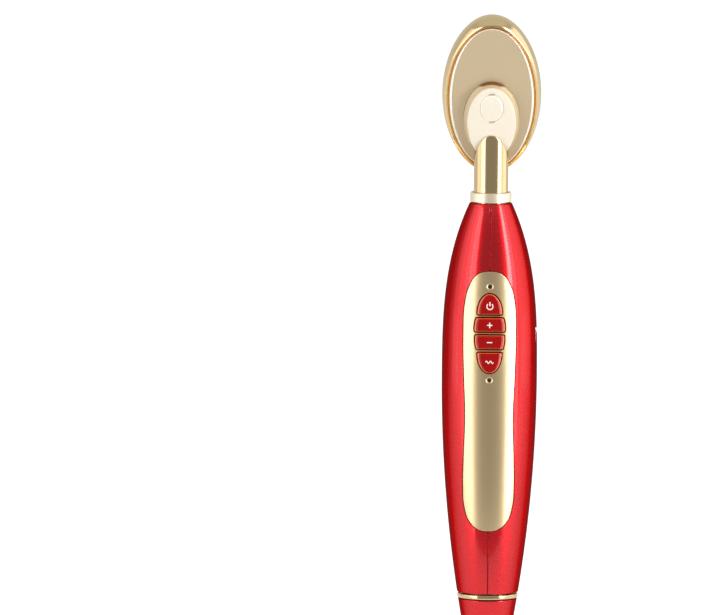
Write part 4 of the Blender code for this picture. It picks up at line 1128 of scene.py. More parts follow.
@dataclass
class Grip:
    """The red handle: two lacquered shells that meet in a seam down the front and back."""

    wall: float = 2.2 * MM
    seam: float = 0.15 * MM
    seam_ease: float = 0.13 * MM
    lip_bottom: float = 45.0 * MM
    lip_bore: float = 5.3 * MM
    edge: float = 0.2 * MM
    rows: int = 110
    columns: int = 72
    recess: float = 1.3 * MM
    chamfer: float = 0.14 * MM
    panel_gap: float = 0.14 * MM
    light_well: float = 0.9 * MM
    tongue_rows: int = 60
    tongue_play: float = 0.01 * MM
    tongue_end: float = 0.5 * MM
    tongue_foot: float = 0.9 * MM
    tongue_top: float = 0.08 * MM
    cover_recess: float = 1.5 * MM
    hinge_well: Point = (2.5 * MM, 3.4 * MM)
    pin_well: Point = (0.55 * MM, 4.7 * MM)
    port_low: tuple[float, float, float] = (8.4, -5.0, 4.4)
    port_high: tuple[float, float, float] = (15.8, 5.0, 9.6)
    port_corner: float = 1.2 * MM

    def build(self) -> None:
        """Makes both shells with their openings, and the tongue behind the seam."""
        for side in Side:
            name = side.name.lower() + "_shell"
            shell = self.half(name + "_fine", side)
            recess = opening(grown(PANEL.points(), self.panel_gap), self.recess, 0.6 * self.chamfer)
            carve(shell, plate("cut", recess, SKIN.front, [RED_LACQUER]))
            for button in Button:
                carve(shell, self.well("cut", button.outline(GAP)))
            for light in LIGHTS:
                carve(shell, self.well("cut", light.outline(self.light_well)))
            if side is Side.RIGHT:
                self.open_port(shell)
            SKIN.true_normals(shell)
            fitted(shell, "handle", "red_body", name)
        panel_foot = PANEL.top - PANEL.length
        stretches = (("upper", -1.0, PANEL.top + self.tongue_end, SKIN.top - self.edge),
                     ("lower", -1.0, SKIN.bottom + self.edge, panel_foot - self.tongue_end),
                     ("back", 1.0, SKIN.bottom + self.edge, SKIN.top - self.edge))
        for name, way, foot, top in stretches:
            self.tongue(f"seam_tongue_{name}", way, foot, top)

    def tongue(self, name: str, way: float, foot: float, top: float) -> None:
        """Makes one stretch of the thin tongue that closes the seam.

        Args:
            name: Name of the piece.
            way: Sign of its Y.
            foot: Its lower end.
            top: Its upper end.
        """
        half, rows = self.seam - self.tongue_play, self.tongue_rows
        shape = Shape()
        lines = []
        for row in range(rows + 1):
            height = foot + (top - foot) * row / rows
            inner, outer = SKIN.at(height) - self.tongue_foot, SKIN.at(height) - self.tongue_top
            corners = ((-half, inner), (half, inner), (half, outer), (-half, outer))
            lines.append(shape.ring((x, way * y, height) for x, y in corners))
        for one, two in zip(lines, lines[1:]):
            shape.strip(one, two)
        shape.face(lines[0])
        shape.face(lines[-1])
        # The tongue takes the darker red: painted shade in the seam.
        fitted(shape.bake(name, [SEAM_SHADE_RED.material()]), "handle", "red_body")

    def well(self, name: str, outline: Ring) -> bpy.types.Object:
        """A cutter through the floor of the panel's recess."""
        levels = [(outline, self.wall + MM), (outline, self.recess - 0.5 * MM)]
        return plate(name, levels, SKIN.front, [RED_LACQUER])

    def row(self, side: Side, radius: float, ease: float) -> list[tuple[float, float]]:
        """Points across one half at a radius, from the front seam to the back one.

        Args:
            side: The half.
            radius: Radius of the row.
            ease: Rounding where the row meets the seam.

        Returns:
            X and Y of the points.
        """
        ends = [(self.seam, ease), (self.seam + 0.3 * ease, 0.3 * ease)]
        start = math.asin((self.seam + ease) / radius)
        points = []
        for across, depth in ends:
            points.append((across, -math.sqrt((radius - depth) ** 2 - across ** 2)))
        for column in range(self.columns + 1):
            angle = start + (0.5 * TURN - 2.0 * start) * column / self.columns
            points.append((radius * math.sin(angle), -radius * math.cos(angle)))
        for across, depth in reversed(ends):
            points.append((across, math.sqrt((radius - depth) ** 2 - across ** 2)))
        return [(side.value * across, along) for across, along in points]

    def half(self, name: str, side: Side) -> bpy.types.Object:
        """One closed half shell, before its openings.

        Args:
            name: Name of the piece.
            side: The half.

        Returns:
            The object.
        """
        length = SKIN.top - SKIN.bottom
        heights = [SKIN.top - length * index / self.rows for index in range(self.rows + 1)]
        heights += [self.lip_bottom + 0.005 * MM, self.lip_bottom]
        heights += [SKIN.top - self.edge, SKIN.bottom + self.edge]
        shape = Shape()
        outer, inner = [], []
        for height in sorted(set(heights), reverse=True):
            at_end = height in (SKIN.top, SKIN.bottom)
            radius = SKIN.at(height) - (self.edge if at_end else 0.0)
            bore = self.lip_bore if height > self.lip_bottom else SKIN.at(height) - self.wall
            outer.append(shape.ring((x, y, height) for x, y in self.row(side, radius, self.seam_ease)))
            inner.append(shape.ring((x, y, height) for x, y in self.row(side, bore, 0.02 * MM)))
        for rows in (outer, inner):
            for one, two in zip(rows, rows[1:]):
                shape.strip(one, two, closed=False)
        for index in (0, -1):
            shape.strip(outer[index], inner[index], closed=False)
            edge_outer = [row[index] for row in outer]
            edge_inner = [row[index] for row in inner]
            shape.strip(edge_outer, edge_inner, closed=False)
        return shape.bake(name, [RED_LACQUER.material()])

    def open_port(self, shell: bpy.types.Object) -> None:
        """Cuts the charging port, the cover's recess and its hinge out of the right shell."""
        recess = opening(COVER.points(GAP), self.cover_recess, self.chamfer)
        carve(shell, plate("cut", recess, SKIN.right, [RED_LACQUER]))
        for (radius, half), steps in ((self.hinge_well, 64), (self.pin_well, 32)):
            carve(shell, bar("cut", radius, -half, half, across_y(HINGE), RED_LACQUER, steps))
        low, high = Vector(self.port_low) * MM, Vector(self.port_high) * MM
        carve(shell, rounded_box("cut", low, high, self.port_corner, RED_LACQUER))


@dataclass
class ControlPanel:
    """The satin gold panel let into the front, with its light pipes."""

    thickness: float = 1.0 * MM
    ease: float = 0.16 * MM
    window_ease: float = 0.14 * MM
    light_sink: float = 0.36 * MM
    pipe_radius: float = 0.6 * MM
    pipe_dome: float = 0.22 * MM

    def build(self) -> None:
        """Makes the panel and the light pipes."""
        panel = plate("control_panel_fine", eased(PANEL.points(), 0.0, self.thickness, self.ease), SKIN.front,
                      [PANEL_GOLD], pitch=0.8 * MM)
        for button in Button:
            carve(panel, plate("cut", opening(button.outline(GAP), self.thickness + MM, self.window_ease),
                               SKIN.front, [PANEL_GOLD]))
        for light in LIGHTS:
            hole, mouth = light.outline(light.hole), light.outline(light.mouth)
            sink = self.light_sink
            wide = light.outline(2.0 * light.mouth - light.hole)
            levels = [(hole, self.thickness + MM), (hole, sink), (mouth, 0.0), (wide, -sink)]
            carve(panel, plate("cut", levels, SKIN.front, [PANEL_GOLD]))
        SKIN.true_normals(panel)
        fitted(panel, "handle", "panel_gold", "control_panel")
        for light in LIGHTS:
            self.lens(light)

    def lens(self, light: Light) -> None:
        """Makes one light pipe, with a low dome on its end."""
        low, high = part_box("light_pipe_" + light.name)
        radius = self.pipe_radius
        tip = -low.y
        foot = -high.y
        dome = [(radius * math.sin(a), tip - self.pipe_dome * (1.0 - math.cos(a))) for a in
                (0.25 * TURN * step / 10 for step in range(11))]
        profile = [*dome, (radius, foot), (0.0, foot)]
        pipe = lathe(f"light_pipe_{light.name}_fine", profile, [DARK_LENS], 32,
                     where=across_y(Vector((0.0, 0.0, light.height))))
        fitted(pipe, "handle", "dark_lens", "light_pipe_" + light.name)


@dataclass
class Keys:
    """The four red buttons, each with a bevelled cap, a retaining flange and a printed mark."""

    proud: float = 0.5 * MM
    side_bevel: float = 1.0 * MM
    end_bevel: float = 0.42 * MM
    shoulder: float = 0.08 * MM
    flange_top: float = 4.45 * MM
    flange_foot: float = 5.1 * MM
    flange_width: float = 0.6 * MM
    root: float = 3.0 * MM
    mark_rise: float = 0.04 * MM
    mark_root: float = 0.05 * MM
    bevel_shares: tuple[Point, ...] = ((0.14, 0.3), (0.42, 0.66), (0.75, 0.9), (0.94, 0.99), (1.06, 1.0))

    def build(self) -> None:
        """Makes the caps and their marks."""
        for button in Button:
            name = button.value[0]
            outline = button.outline()
            wide = grown(outline, self.flange_width)
            levels = [
                (wide, self.flange_foot), (wide, self.flange_top), (outline, self.flange_top),
                (outline, self.root), (outline, -self.shoulder)]
            for share, rise in self.bevel_shares:
                height = self.shoulder + (self.proud - self.shoulder) * rise
                levels.append((button.drawn_in(share, self.side_bevel, self.end_bevel), -height))
            # The bevel's outer bands take the orange painted reflection.
            cap = plate(name + "_button_fine", levels, SKIN.front, [RED_CAP, RED_CAP_EDGE_REFLECTION], 0.5 * MM,
                        [0, 0, 0, 0, 1, 1, 0, 0, 0, 0])
            fitted(cap, name + "_key", "red_button", name + "_button")
            for number, corners in enumerate(self.marks(button)):
                mark = divided(corners, 0.12 * MM)
                piece = plate(f"{name}_mark_{number + 1}",
                              [(mark, -self.proud + self.mark_root), (mark, -self.proud - self.mark_rise)],
                              SKIN.front, [MARK_PRINT], 0.2 * MM)
                fitted(piece, name + "_key", "red_button")

    def marks(self, button: Button) -> list[Ring]:
        """Outlines of the plain sign on a button: a power sign, plus, minus or a wave.

        Args:
            button: The button.

        Returns:
            The outlines, counter-clockwise, in X and Z.
        """
        stroke = 0.15 * MM
        middle = button.middle()
        if button is Button.POWER:
            middle -= 0.55 * MM
            outer, inner = 1.02 * MM, 0.74 * MM
            ring = arc((0.0, middle), (outer, outer), 0.36, 1.14, 40)
            ring += arc((0.0, middle), (inner, inner), 1.14, 0.36, 40)
            top, foot = middle + 1.25 * MM, middle + 0.1 * MM
            return [ring, [(-stroke, foot), (stroke, foot), (stroke, top), (-stroke, top)]]
        if button is Button.MODE:
            return [wave(middle + 0.3 * MM)]
        arm = 0.78 * MM
        if button is Button.MINUS:
            low, high = middle - stroke, middle + stroke
            return [[(-arm, low), (arm, low), (arm, high), (-arm, high)]]
        return [[
            (x * a, middle + z * b) for x, z, a, b in (
                (-1, -1, stroke, arm), (1, -1, stroke, arm), (1, -1, stroke, stroke), (1, -1, arm, stroke),
                (1, 1, arm, stroke), (1, 1, stroke, stroke), (1, 1, stroke, arm), (-1, 1, stroke, arm),
                (-1, 1, stroke, stroke), (-1, 1, arm, stroke), (-1, -1, arm, stroke),
                (-1, -1, stroke, stroke))]]


def wave(middle: float) -> list[Point]:
    """The mode sign: a low wavy line, as a shaking motion is drawn.

    Args:
        middle: Height of its middle.

    Returns:
        Its outline, counter-clockwise.
    """
    half_width, half_height, half_stroke = 1.15 * MM, 0.34 * MM, 0.13 * MM
    steps = 40
    line = []
    for step in range(steps + 1):
        t = step / steps
        across = half_width * (2.0 * t - 1.0)
        line.append(Vector((across, middle + half_height * math.sin(2.0 * TURN * t))))
    left, right = [], []
    for index, here in enumerate(line):
        along = (line[min(index + 1, steps)] - line[max(index - 1, 0)]).normalized()
        side = Vector((-along.y, along.x)) * half_stroke
        left.append(tuple(here + side))
        right.append(tuple(here - side))
    return right + left[::-1]


@dataclass
class ChargingPort:
    """The hinged cover on the right side, its pin, and the socket behind it."""

    thickness: float = 1.2 * MM
    ease: float = 0.22 * MM
    knuckle: float = 1.2 * MM
    bore: float = 0.55 * MM
    notch: float = 1.5 * MM
    pin: float = 0.4 * MM
    pin_half_length: float = 4.4 * MM

    def build(self) -> None:
        """Makes the cover, the pin and the socket."""
        # The rounded edge bands take the pale red painted highlight.
        cover = plate("socket_cover_fine", eased(COVER.points(), 0.0, self.thickness, self.ease), SKIN.right,
                      [RED_LACQUER, COVER_EDGE_HIGHLIGHT], 0.6 * MM, [0, 1, 1, 1, 0, 0])
        half = COVER.tab_half_width
        barrel = bar("barrel", self.knuckle, -half, half, across_y(HINGE), RED_LACQUER, 48, 0.2 * MM)
        carve(cover, barrel, "UNION")
        carve(cover, bar("cut", self.bore, -2.0 * half, 2.0 * half, across_y(HINGE), RED_LACQUER, 32))
        place = Vector((0.0, 0.0, COVER.bottom - 0.5 * self.notch))
        low, high = SKIN.radius - 0.6 * MM, SKIN.radius + MM
        carve(cover, bar("cut", self.notch, low, high, along_x(place), RED_LACQUER, 48))
        SKIN.true_normals(cover)
        fitted(cover, "charging_cover", "red_body", "socket_cover")
        long = self.pin_half_length
        pin = bar("cover_pin_fine", self.pin, -long, long, across_y(HINGE), STEEL, 32, 0.12 * MM)
        fitted(pin, "handle", "steel", "cover_pin")
        self.socket()

    def socket(self) -> None:
        """Makes the socket's rolled metal shell with its tongue and contacts."""
        low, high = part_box("charging_socket")
        corner, wall, depth = 1.1 * MM, 0.4 * MM, 4.6 * MM
        shell = rounded_box("charging_socket_fine", low, high, corner, STEEL)
        inner_low = Vector((high.x - depth, low.y + wall, low.z + wall))
        inner_high = Vector((high.x + MM, high.y - wall, high.z - wall))
        carve(shell, rounded_box("cut", inner_low, inner_high, corner - wall, STEEL))
        fitted(shell, "handle", "steel", "charging_socket")
        middle = 0.5 * (low.z + high.z)
        tongue_half, side = 0.3 * MM, high.y - 1.1 * MM
        tongue = rounded_box(
            "socket_tongue", Vector((low.x + wall, -side, middle - tongue_half)),
            Vector((high.x - wall, side, middle + tongue_half)), 0.2 * MM, BLACK_PLASTIC)
        fitted(tongue, "handle", "black_plastic")
        contact_half, pitch, count = 0.2 * MM, 0.75 * MM, 5
        for index in range(count):
            across = (index - 0.5 * (count - 1)) * pitch
            for way in (-1.0, 1.0):
                face = middle + way * tongue_half
                contact = rounded_box(
                    f"socket_contact_{'upper' if way > 0 else 'lower'}_{index + 1}",
                    Vector((low.x + 2.0 * wall, across - contact_half, min(face, face + way * 0.04 * MM))),
                    Vector((high.x - 2.0 * wall, across + contact_half, max(face, face + way * 0.04 * MM))),
                    0.01 * MM, POLISHED_GOLD)
                fitted(contact, "handle", "polished_gold")


# The massage head

HEAD_FOOT = 67.6 * MM
HEAD_LEAN = math.radians(120.0)
HEAD_AXES = Matrix.Translation((0.0, 0.0, HEAD_FOOT)) @ Matrix.Rotation(HEAD_LEAN, 4, "X")


def spline(points: Ring, steps: int = 5) -> list[Point]:
    """A smooth open line through points.

    Args:
        points: The points.
        steps: Straight pieces between two of them.

    Returns:
        The line's points.
    """
    knots = [points[0], *points, points[-1]]
    out = []
    for index in range(1, len(knots) - 2):
        before, start, end, after = knots[index - 1:index + 3]
        for step in range(steps):
            t = step / steps
            out.append(tuple(
                0.5 * (2.0 * b + (c - a) * t + (2.0 * a - 5.0 * b + 4.0 * c - d) * t * t
                       + (3.0 * b - a - 3.0 * c + d) * t ** 3)
                for a, b, c, d in zip(before, start, end, after)))
    out.append(tuple(points[-1]))
    return out


@dataclass(frozen=True)
class Oval:
    """An oval outline on the head, about a place on its length."""

    half_width: float
    half_length: float
    centre: float
    steps: int = 180

    def loft(self, name: str, levels: Ring, finishes: Sequence[Finish], closed: bool = False,
             parts: Sequence[int] | None = None) -> bpy.types.Object:
        """A solid from the oval drawn in level by level.

        Args:
            name: Name of the piece.
            levels: How far each level is drawn in, its height out of the head's back, and how far its ends
                are drawn in where that differs.
            finishes: Its finishes.
            closed: True if the levels go round a ring's section.
            parts: Finish number of each band between two levels, or None.

        Returns:
            The object.
        """
        shape = Shape()
        rows = []
        for inward, height, *ends in levels:
            wide, long = self.half_width - inward, self.half_length - (ends[0] if ends else inward)
            if wide < 0.02 * MM:
                middle = shape.ring([HEAD_AXES @ Vector((0.0, self.centre, height))])
                rows.append(middle * self.steps)
                continue
            line = arc((0.0, self.centre), (wide, long), 0.0, 1.0, self.steps)[:-1]
            rows.append(shape.ring(HEAD_AXES @ Vector((x, y, height)) for x, y in line))
        shape.bands(rows, closed, parts)
        if not closed:
            for row in (rows[0], rows[-1]):
                if len(set(row)) > 2:
                    shape.face(row)
        return shape.bake(name, [finish.material() for finish in finishes])


@dataclass
class MassageHead:
    """The oval head: gold rim, trim, cream back with its boss and plug, tan inlay and the warm plate."""

    outline: Oval = Oval(14.35 * MM, 26.8 * MM, 15.7 * MM)
    boss: Oval = Oval(8.1 * MM, 13.1 * MM, 8.6 * MM)
    plug: Oval = Oval(3.3 * MM, 4.6 * MM, 14.1 * MM, 96)
    boss_height: float = 2.75 * MM
    step: float = 0.95 * MM
    step_height: float = 1.35 * MM
    boss_foot: float = -1.3 * MM
    cover_land: float = 2.1 * MM
    cover_thickness: float = 1.8 * MM
    bead_width: float = 0.78 * MM
    end_share: float = 0.35
    step_share: float = 0.5
    trim_land: float = 1.72 * MM
    trim_width: float = 0.34 * MM
    plug_top: float = 2.85 * MM
    spigot: float = 4.1 * MM
    spigot_foot: float = 56.0 * MM
    wire_bore: float = 2.4 * MM
    plate_land: float = 2.3 * MM
    plate_top: float = -5.3 * MM
    plate_floor: float = -6.2 * MM
    dome: float = 2.0 * MM

    def build(self) -> None:
        """Makes every piece of the head."""
        self.rim()
        self.trim()
        self.back_cover()
        self.inlay()
        self.screw_plug()
        self.warm_plate()

    def boss_line(self, grow: float = 0.0) -> list[Point]:
        """The boss's section from its side to the middle of its top.

        Args:
            grow: How much larger it is all round.

        Returns:
            How far each level is drawn in, and its height.
        """
        wide, low, high = self.boss.half_width, self.step_height, self.boss_height
        knots = [(0.0, 0.0), (0.0, 0.5 * low), (0.06 * MM, 0.86 * low), (0.22 * MM, low),
                 (0.42 * MM, 0.98 * low), (self.step, 0.5 * (low + high)),
                 (self.step + 0.2 * MM, high - 0.22 * MM),
                 (self.step + 0.55 * MM, high - 0.06 * MM), (0.4 * wide, high)]
        line = spline(knots, 6) + [(0.75 * wide, high)]
        return [(inward - grow, height + grow) for inward, height in line]

    def slimmer_ends(self, levels: Ring) -> list[tuple[float, float, float]]:
        """Levels inside the cover's edge, drawn in less at the head's two ends than at its sides."""
        land, share = self.cover_land, self.end_share
        return [(inward, height, land + (inward - land) * share) for inward, height in levels]

    def step_end(self, inward: float, grow: float) -> float:
        """How far a level of the grown boss is drawn in at its two ends."""
        return self.step_share * (inward + grow) - grow

    def screw_axes(self) -> Matrix:
        """Axes on the head at the plug and its screw."""
        return HEAD_AXES @ Matrix.Translation((0.0, self.plug.centre, 0.0))

    def boss_rise(self, across: float, along: float, grow: float) -> float:
        """Height of the grown boss over a place on the head, or 0 beside it.

        Args:
            across: The place's X on the head.
            along: Its Y on the head.
            grow: How much larger the boss is.

        Returns:
            The height.
        """
        line = self.boss_line(grow)

        def outside(inward: float) -> bool:
            wide, long = self.boss.half_width - inward, self.boss.half_length - self.step_end(inward, grow)
            return (across / wide) ** 2 + ((along - self.boss.centre) / long) ** 2 > 1.0

        if outside(line[0][0]):
            return 0.0
        for (one, low), (two, high) in zip(line, line[1:]):
            if outside(two):
                start, end = one, two
                for _ in range(12):
                    middle = 0.5 * (start + end)
                    start, end = (start, middle) if outside(middle) else (middle, end)
                return low + (high - low) * (start - one) / (two - one)
        return line[-1][1]

    def rim(self) -> None:
        """Makes the polished rim with its crest."""
        land = 1.4 * MM
        face = spline([
            (1.68 * MM, -0.1 * MM), (1.4 * MM, 0.12 * MM), (0.95 * MM, 0.3 * MM), (0.35 * MM, -0.756 * MM),
            (0.0, -2.52 * MM), (0.28 * MM, -4.41 * MM), (0.91 * MM, -5.8 * MM), (land, -6.3 * MM)])
        back = [(2.0 * MM, -6.3 * MM), (2.0 * MM, -4.3 * MM), (3.4 * MM, -4.3 * MM), (3.4 * MM, -2.1 * MM),
                (1.68 * MM, -2.1 * MM)]
        ring = self.outline.loft("head_rim_fine", face + back, [RIM_GOLD], closed=True)
        fitted(ring, "handle", "polished_gold", "head_rim")

    def trim(self) -> None:
        """Makes the thin orange-gold ring inside the rim."""
        start, end = self.trim_land, self.trim_land + self.trim_width
        foot, top = -1.8 * MM, 0.02 * MM
        section = rounded([(start, foot), (start, top), (end, top), (end, foot)], 0.16 * MM)
        ring = self.outline.loft("head_trim_ring_fine", section, [ORANGE_GOLD], closed=True)
        fitted(ring, "handle", "orange_gold", "head_trim_ring")

    def back_cover(self) -> None:
        """Makes the cream back cover: its bead round the inlay, the boss, and the spigot in the neck."""
        land, ledge = self.cover_land, self.cover_land + self.bead_width
        floor, top = -0.8 * MM, 0.1 * MM
        section = [(land, -self.cover_thickness)]
        section += rounded([(land, floor), (land, top), (ledge, top), (ledge, floor)], 0.38 * MM, steps=8)
        # The bead takes the whiter painted highlight copy of the cream.
        bands = [0] + [2] * (len(section) - 2)
        tones = [CREAM, STEP_SLOPE_REFLECTION, CREAM_EDGE_HIGHLIGHT, STEP_SHADE]
        cover = self.outline.loft("head_back_cover_fine", self.slimmer_ends(section), tones, parts=bands)
        line = [(inward, height, self.step_end(inward, 0.0))
                for inward, height in ((0.0, self.boss_foot), *self.boss_line())]
        edge, slope = 0.2 * MM, self.step + 0.08 * MM
        # Painted shade and reflection on the boss: its foot takes the finish shaded brown at the top, its
        # slope the darker tan, its top plain cream.
        tan = [3 if inward < edge else 1 if inward < slope else 0 for inward, *_ in line[:-1]]
        carve(cover, self.boss.loft("boss", line, tones, parts=tan), "UNION")
        spigot = lathe("spigot", [
            (self.wire_bore, HEAD_FOOT + 2.0 * self.spigot), (self.spigot, HEAD_FOOT + 2.0 * self.spigot),
            (self.spigot, self.spigot_foot), (self.wire_bore, self.spigot_foot)], [CREAM], 64, closed=True)
        back = -self.cover_thickness - 0.01 * MM
        inside = self.outline.loft("cut", [(-MM, back), (-MM, -20.0 * MM)], [CREAM])
        carve(cover, carve(spigot, inside), "UNION")
        ease, seat, gap = 0.2 * MM, self.plug_top - 1.3 * MM, 0.05 * MM
        carve(cover, self.plug.loft("cut", [
            (-gap, seat), (-gap, self.boss_height - 0.5 * ease), (-gap - ease, self.boss_height),
            (-gap - 3.0 * ease, self.boss_height + ease)], [CREAM]))
        for way in (-1.0, 1.0):
            slot = Oval(1.0 * MM, 0.42 * MM, self.plug.centre + way * (self.plug.half_length + 0.16 * MM), 48)
            carve(cover, slot.loft("cut", [(0.0, seat + 0.2 * MM), (0.0, self.boss_height + MM)], [CREAM]))
        place = self.screw_axes()
        carve(cover, bar("cut", 1.8 * MM, seat - 1.4 * MM, self.boss_height, place, CREAM, 64))
        carve(cover, bar("cut", MM, -self.cover_thickness - MM, self.boss_height, place, CREAM, 48))
        fitted(cover, "handle", "cream_plastic", "head_back_cover")

    def inlay(self) -> None:
        """Makes the flat tan inlay round the boss."""
        land = self.cover_land + self.bead_width - 0.02 * MM
        levels = [(land, -0.5 * MM), (land, -0.06 * MM), (land + 0.06 * MM, 0.0)]
        inlay = self.outline.loft("head_inlay_fine", self.slimmer_ends(levels), [TAN])
        reach, gap = 3.0 * MM, 0.05 * MM
        carve(inlay, self.boss.loft("cut", [(-gap, -reach), (-gap, -0.04 * MM), (-gap - 0.04 * MM, 0.0),
                                            (-gap - 0.04 * MM, reach)], [TAN]))
        top = HEAD_FOOT + 10.0 * MM
        carve(inlay, bar("cut", self.spigot + GAP, self.spigot_foot, top, Matrix(), TAN, 64))
        fitted(inlay, "handle", "tan_inlay", "head_inlay")

    def screw_plug(self) -> None:
        """Makes the small oval plug over the head's screw."""
        top = self.plug_top
        edge = rounded([(0.0, top - 0.9 * MM), (0.0, top), (1.6 * MM, top)], 0.34 * MM, steps=6)
        section = [(0.0, top - MM), *edge]
        section += [(2.4 * MM, top + 0.03 * MM)]
        # The plug's rounded edge takes the whiter painted highlight copy of the cream.
        bands = [0, 0] + [1] * (len(section) - 5) + [0, 0]
        plug = self.plug.loft("screw_plug_fine", section, [CREAM, CREAM_EDGE_HIGHLIGHT], parts=bands)
        fitted(plug, "handle", "cream_plastic", "screw_plug")

    def warm_plate(self) -> None:
        """Makes the domed massage plate on the head's far side."""
        inner, land = 3.7 * MM, self.plate_land
        wide = self.outline.half_width - land
        levels = [(inner, self.plate_floor), (inner, self.plate_top)]
        side = [(inner, self.plate_top), (land, self.plate_top), (land, self.plate_floor + 0.1 * MM)]
        levels += rounded(side, 0.15 * MM)[1:]
        steps = 28
        for step in range(steps + 1):
            share = math.cos(0.25 * TURN * step / steps)
            levels.append((land + (1.0 - share) * wide, self.plate_floor - self.dome * (1.0 - share * share)))
        plate_piece = self.outline.loft("massage_plate_fine", levels, [SATIN_GOLD])
        place = self.screw_axes()
        post = bar("post", 1.9 * MM, self.plate_floor - 0.5 * MM, -2.1 * MM, place, SATIN_GOLD)
        carve(plate_piece, post, "UNION")
        carve(plate_piece, bar("cut", MM, self.plate_floor + 0.3 * MM, 0.0, place, SATIN_GOLD))
        fitted(plate_piece, "handle", "satin_gold", "massage_plate")


@dataclass
class Neck:
    """The polished tube, cut slanting to fit the head's back, and the satin collar at its foot."""

    head: MassageHead
    radius: float = 5.0 * MM
    bore: float = 4.4 * MM
    foot: float = 42.6 * MM
    flange: float = 5.9 * MM
    flange_height: float = 2.1 * MM
    clearance: float = 0.6 * MM
    collar: float = 6.0 * MM
    collar_bore: float = 5.3 * MM
    collar_foot: float = 50.6 * MM
    collar_height: float = 2.8 * MM
    steps: int = 144

    def build(self) -> None:
        """Makes the tube and the collar."""
        self.tube()
        foot, top = self.collar_foot, self.collar_foot + self.collar_height
        section = rounded([(self.collar_bore, foot), (self.collar, foot), (self.collar, top),
                           (self.collar_bore, top)], 0.34 * MM, True, 6)
        collar = lathe("neck_collar_fine", section, [COLLAR_SATIN], 144, closed=True)
        fitted(collar, "handle", "satin_gold", "neck_collar")

    def end_height(self, radius: float, angle: float) -> float:
        """Where the tube ends over one point of its circle.

        Args:
            radius: Radius of the circle.
            angle: Angle from the front.

        Returns:
            Height of the end.
        """
        across, along = radius * math.sin(angle), -radius * math.cos(angle)
        back = HEAD_AXES.inverted()
        low, high = self.collar_foot, HEAD_FOOT + 20.0 * MM
        for _ in range(26):
            middle = 0.5 * (low + high)
            spot = back @ Vector((across, along, middle))
            surface = max(self.clearance, self.head.boss_rise(spot.x, spot.y, GAP))
            low, high = (middle, high) if spot.z > surface else (low, middle)
        return low

    def tube(self) -> None:
        """Makes the tube column by column, up to its slanting end."""
        shape = Shape()
        ease = 0.2 * MM
        flange_top = self.foot + self.flange_height
        columns = []
        for index in range(self.steps):
            angle = TURN * index / self.steps
            outer = self.end_height(self.radius, angle)
            inner = self.end_height(self.bore, angle)
            start = flange_top + 0.3 * MM
            section = [(self.bore, inner - 0.05 * MM), (self.radius - ease, outer - 0.01 * MM)]
            section += [(self.radius - ease * (1.0 - math.sin(a)), outer - ease * (1.0 - math.cos(a)))
                        for a in (0.25 * TURN * step / 4 for step in range(1, 5))]
            rows = 40
            for row in range(1, rows + 1):
                section.append((self.radius, outer - ease - (outer - ease - start) * row / rows))
            section += [(self.radius, flange_top), (self.flange, flange_top), (self.flange, self.foot),
                        (self.bore, self.foot), (self.bore, start)]
            columns.append(shape.ring((r * math.sin(angle), -r * math.cos(angle), z) for r, z in section))
        for index, one in enumerate(columns):
            shape.strip(one, columns[(index + 1) % self.steps])
        tube = shape.bake("neck_tube_fine", [POLISHED_GOLD.material()])
        fitted(tube, "handle", "polished_gold", "neck_tube")


# The tail

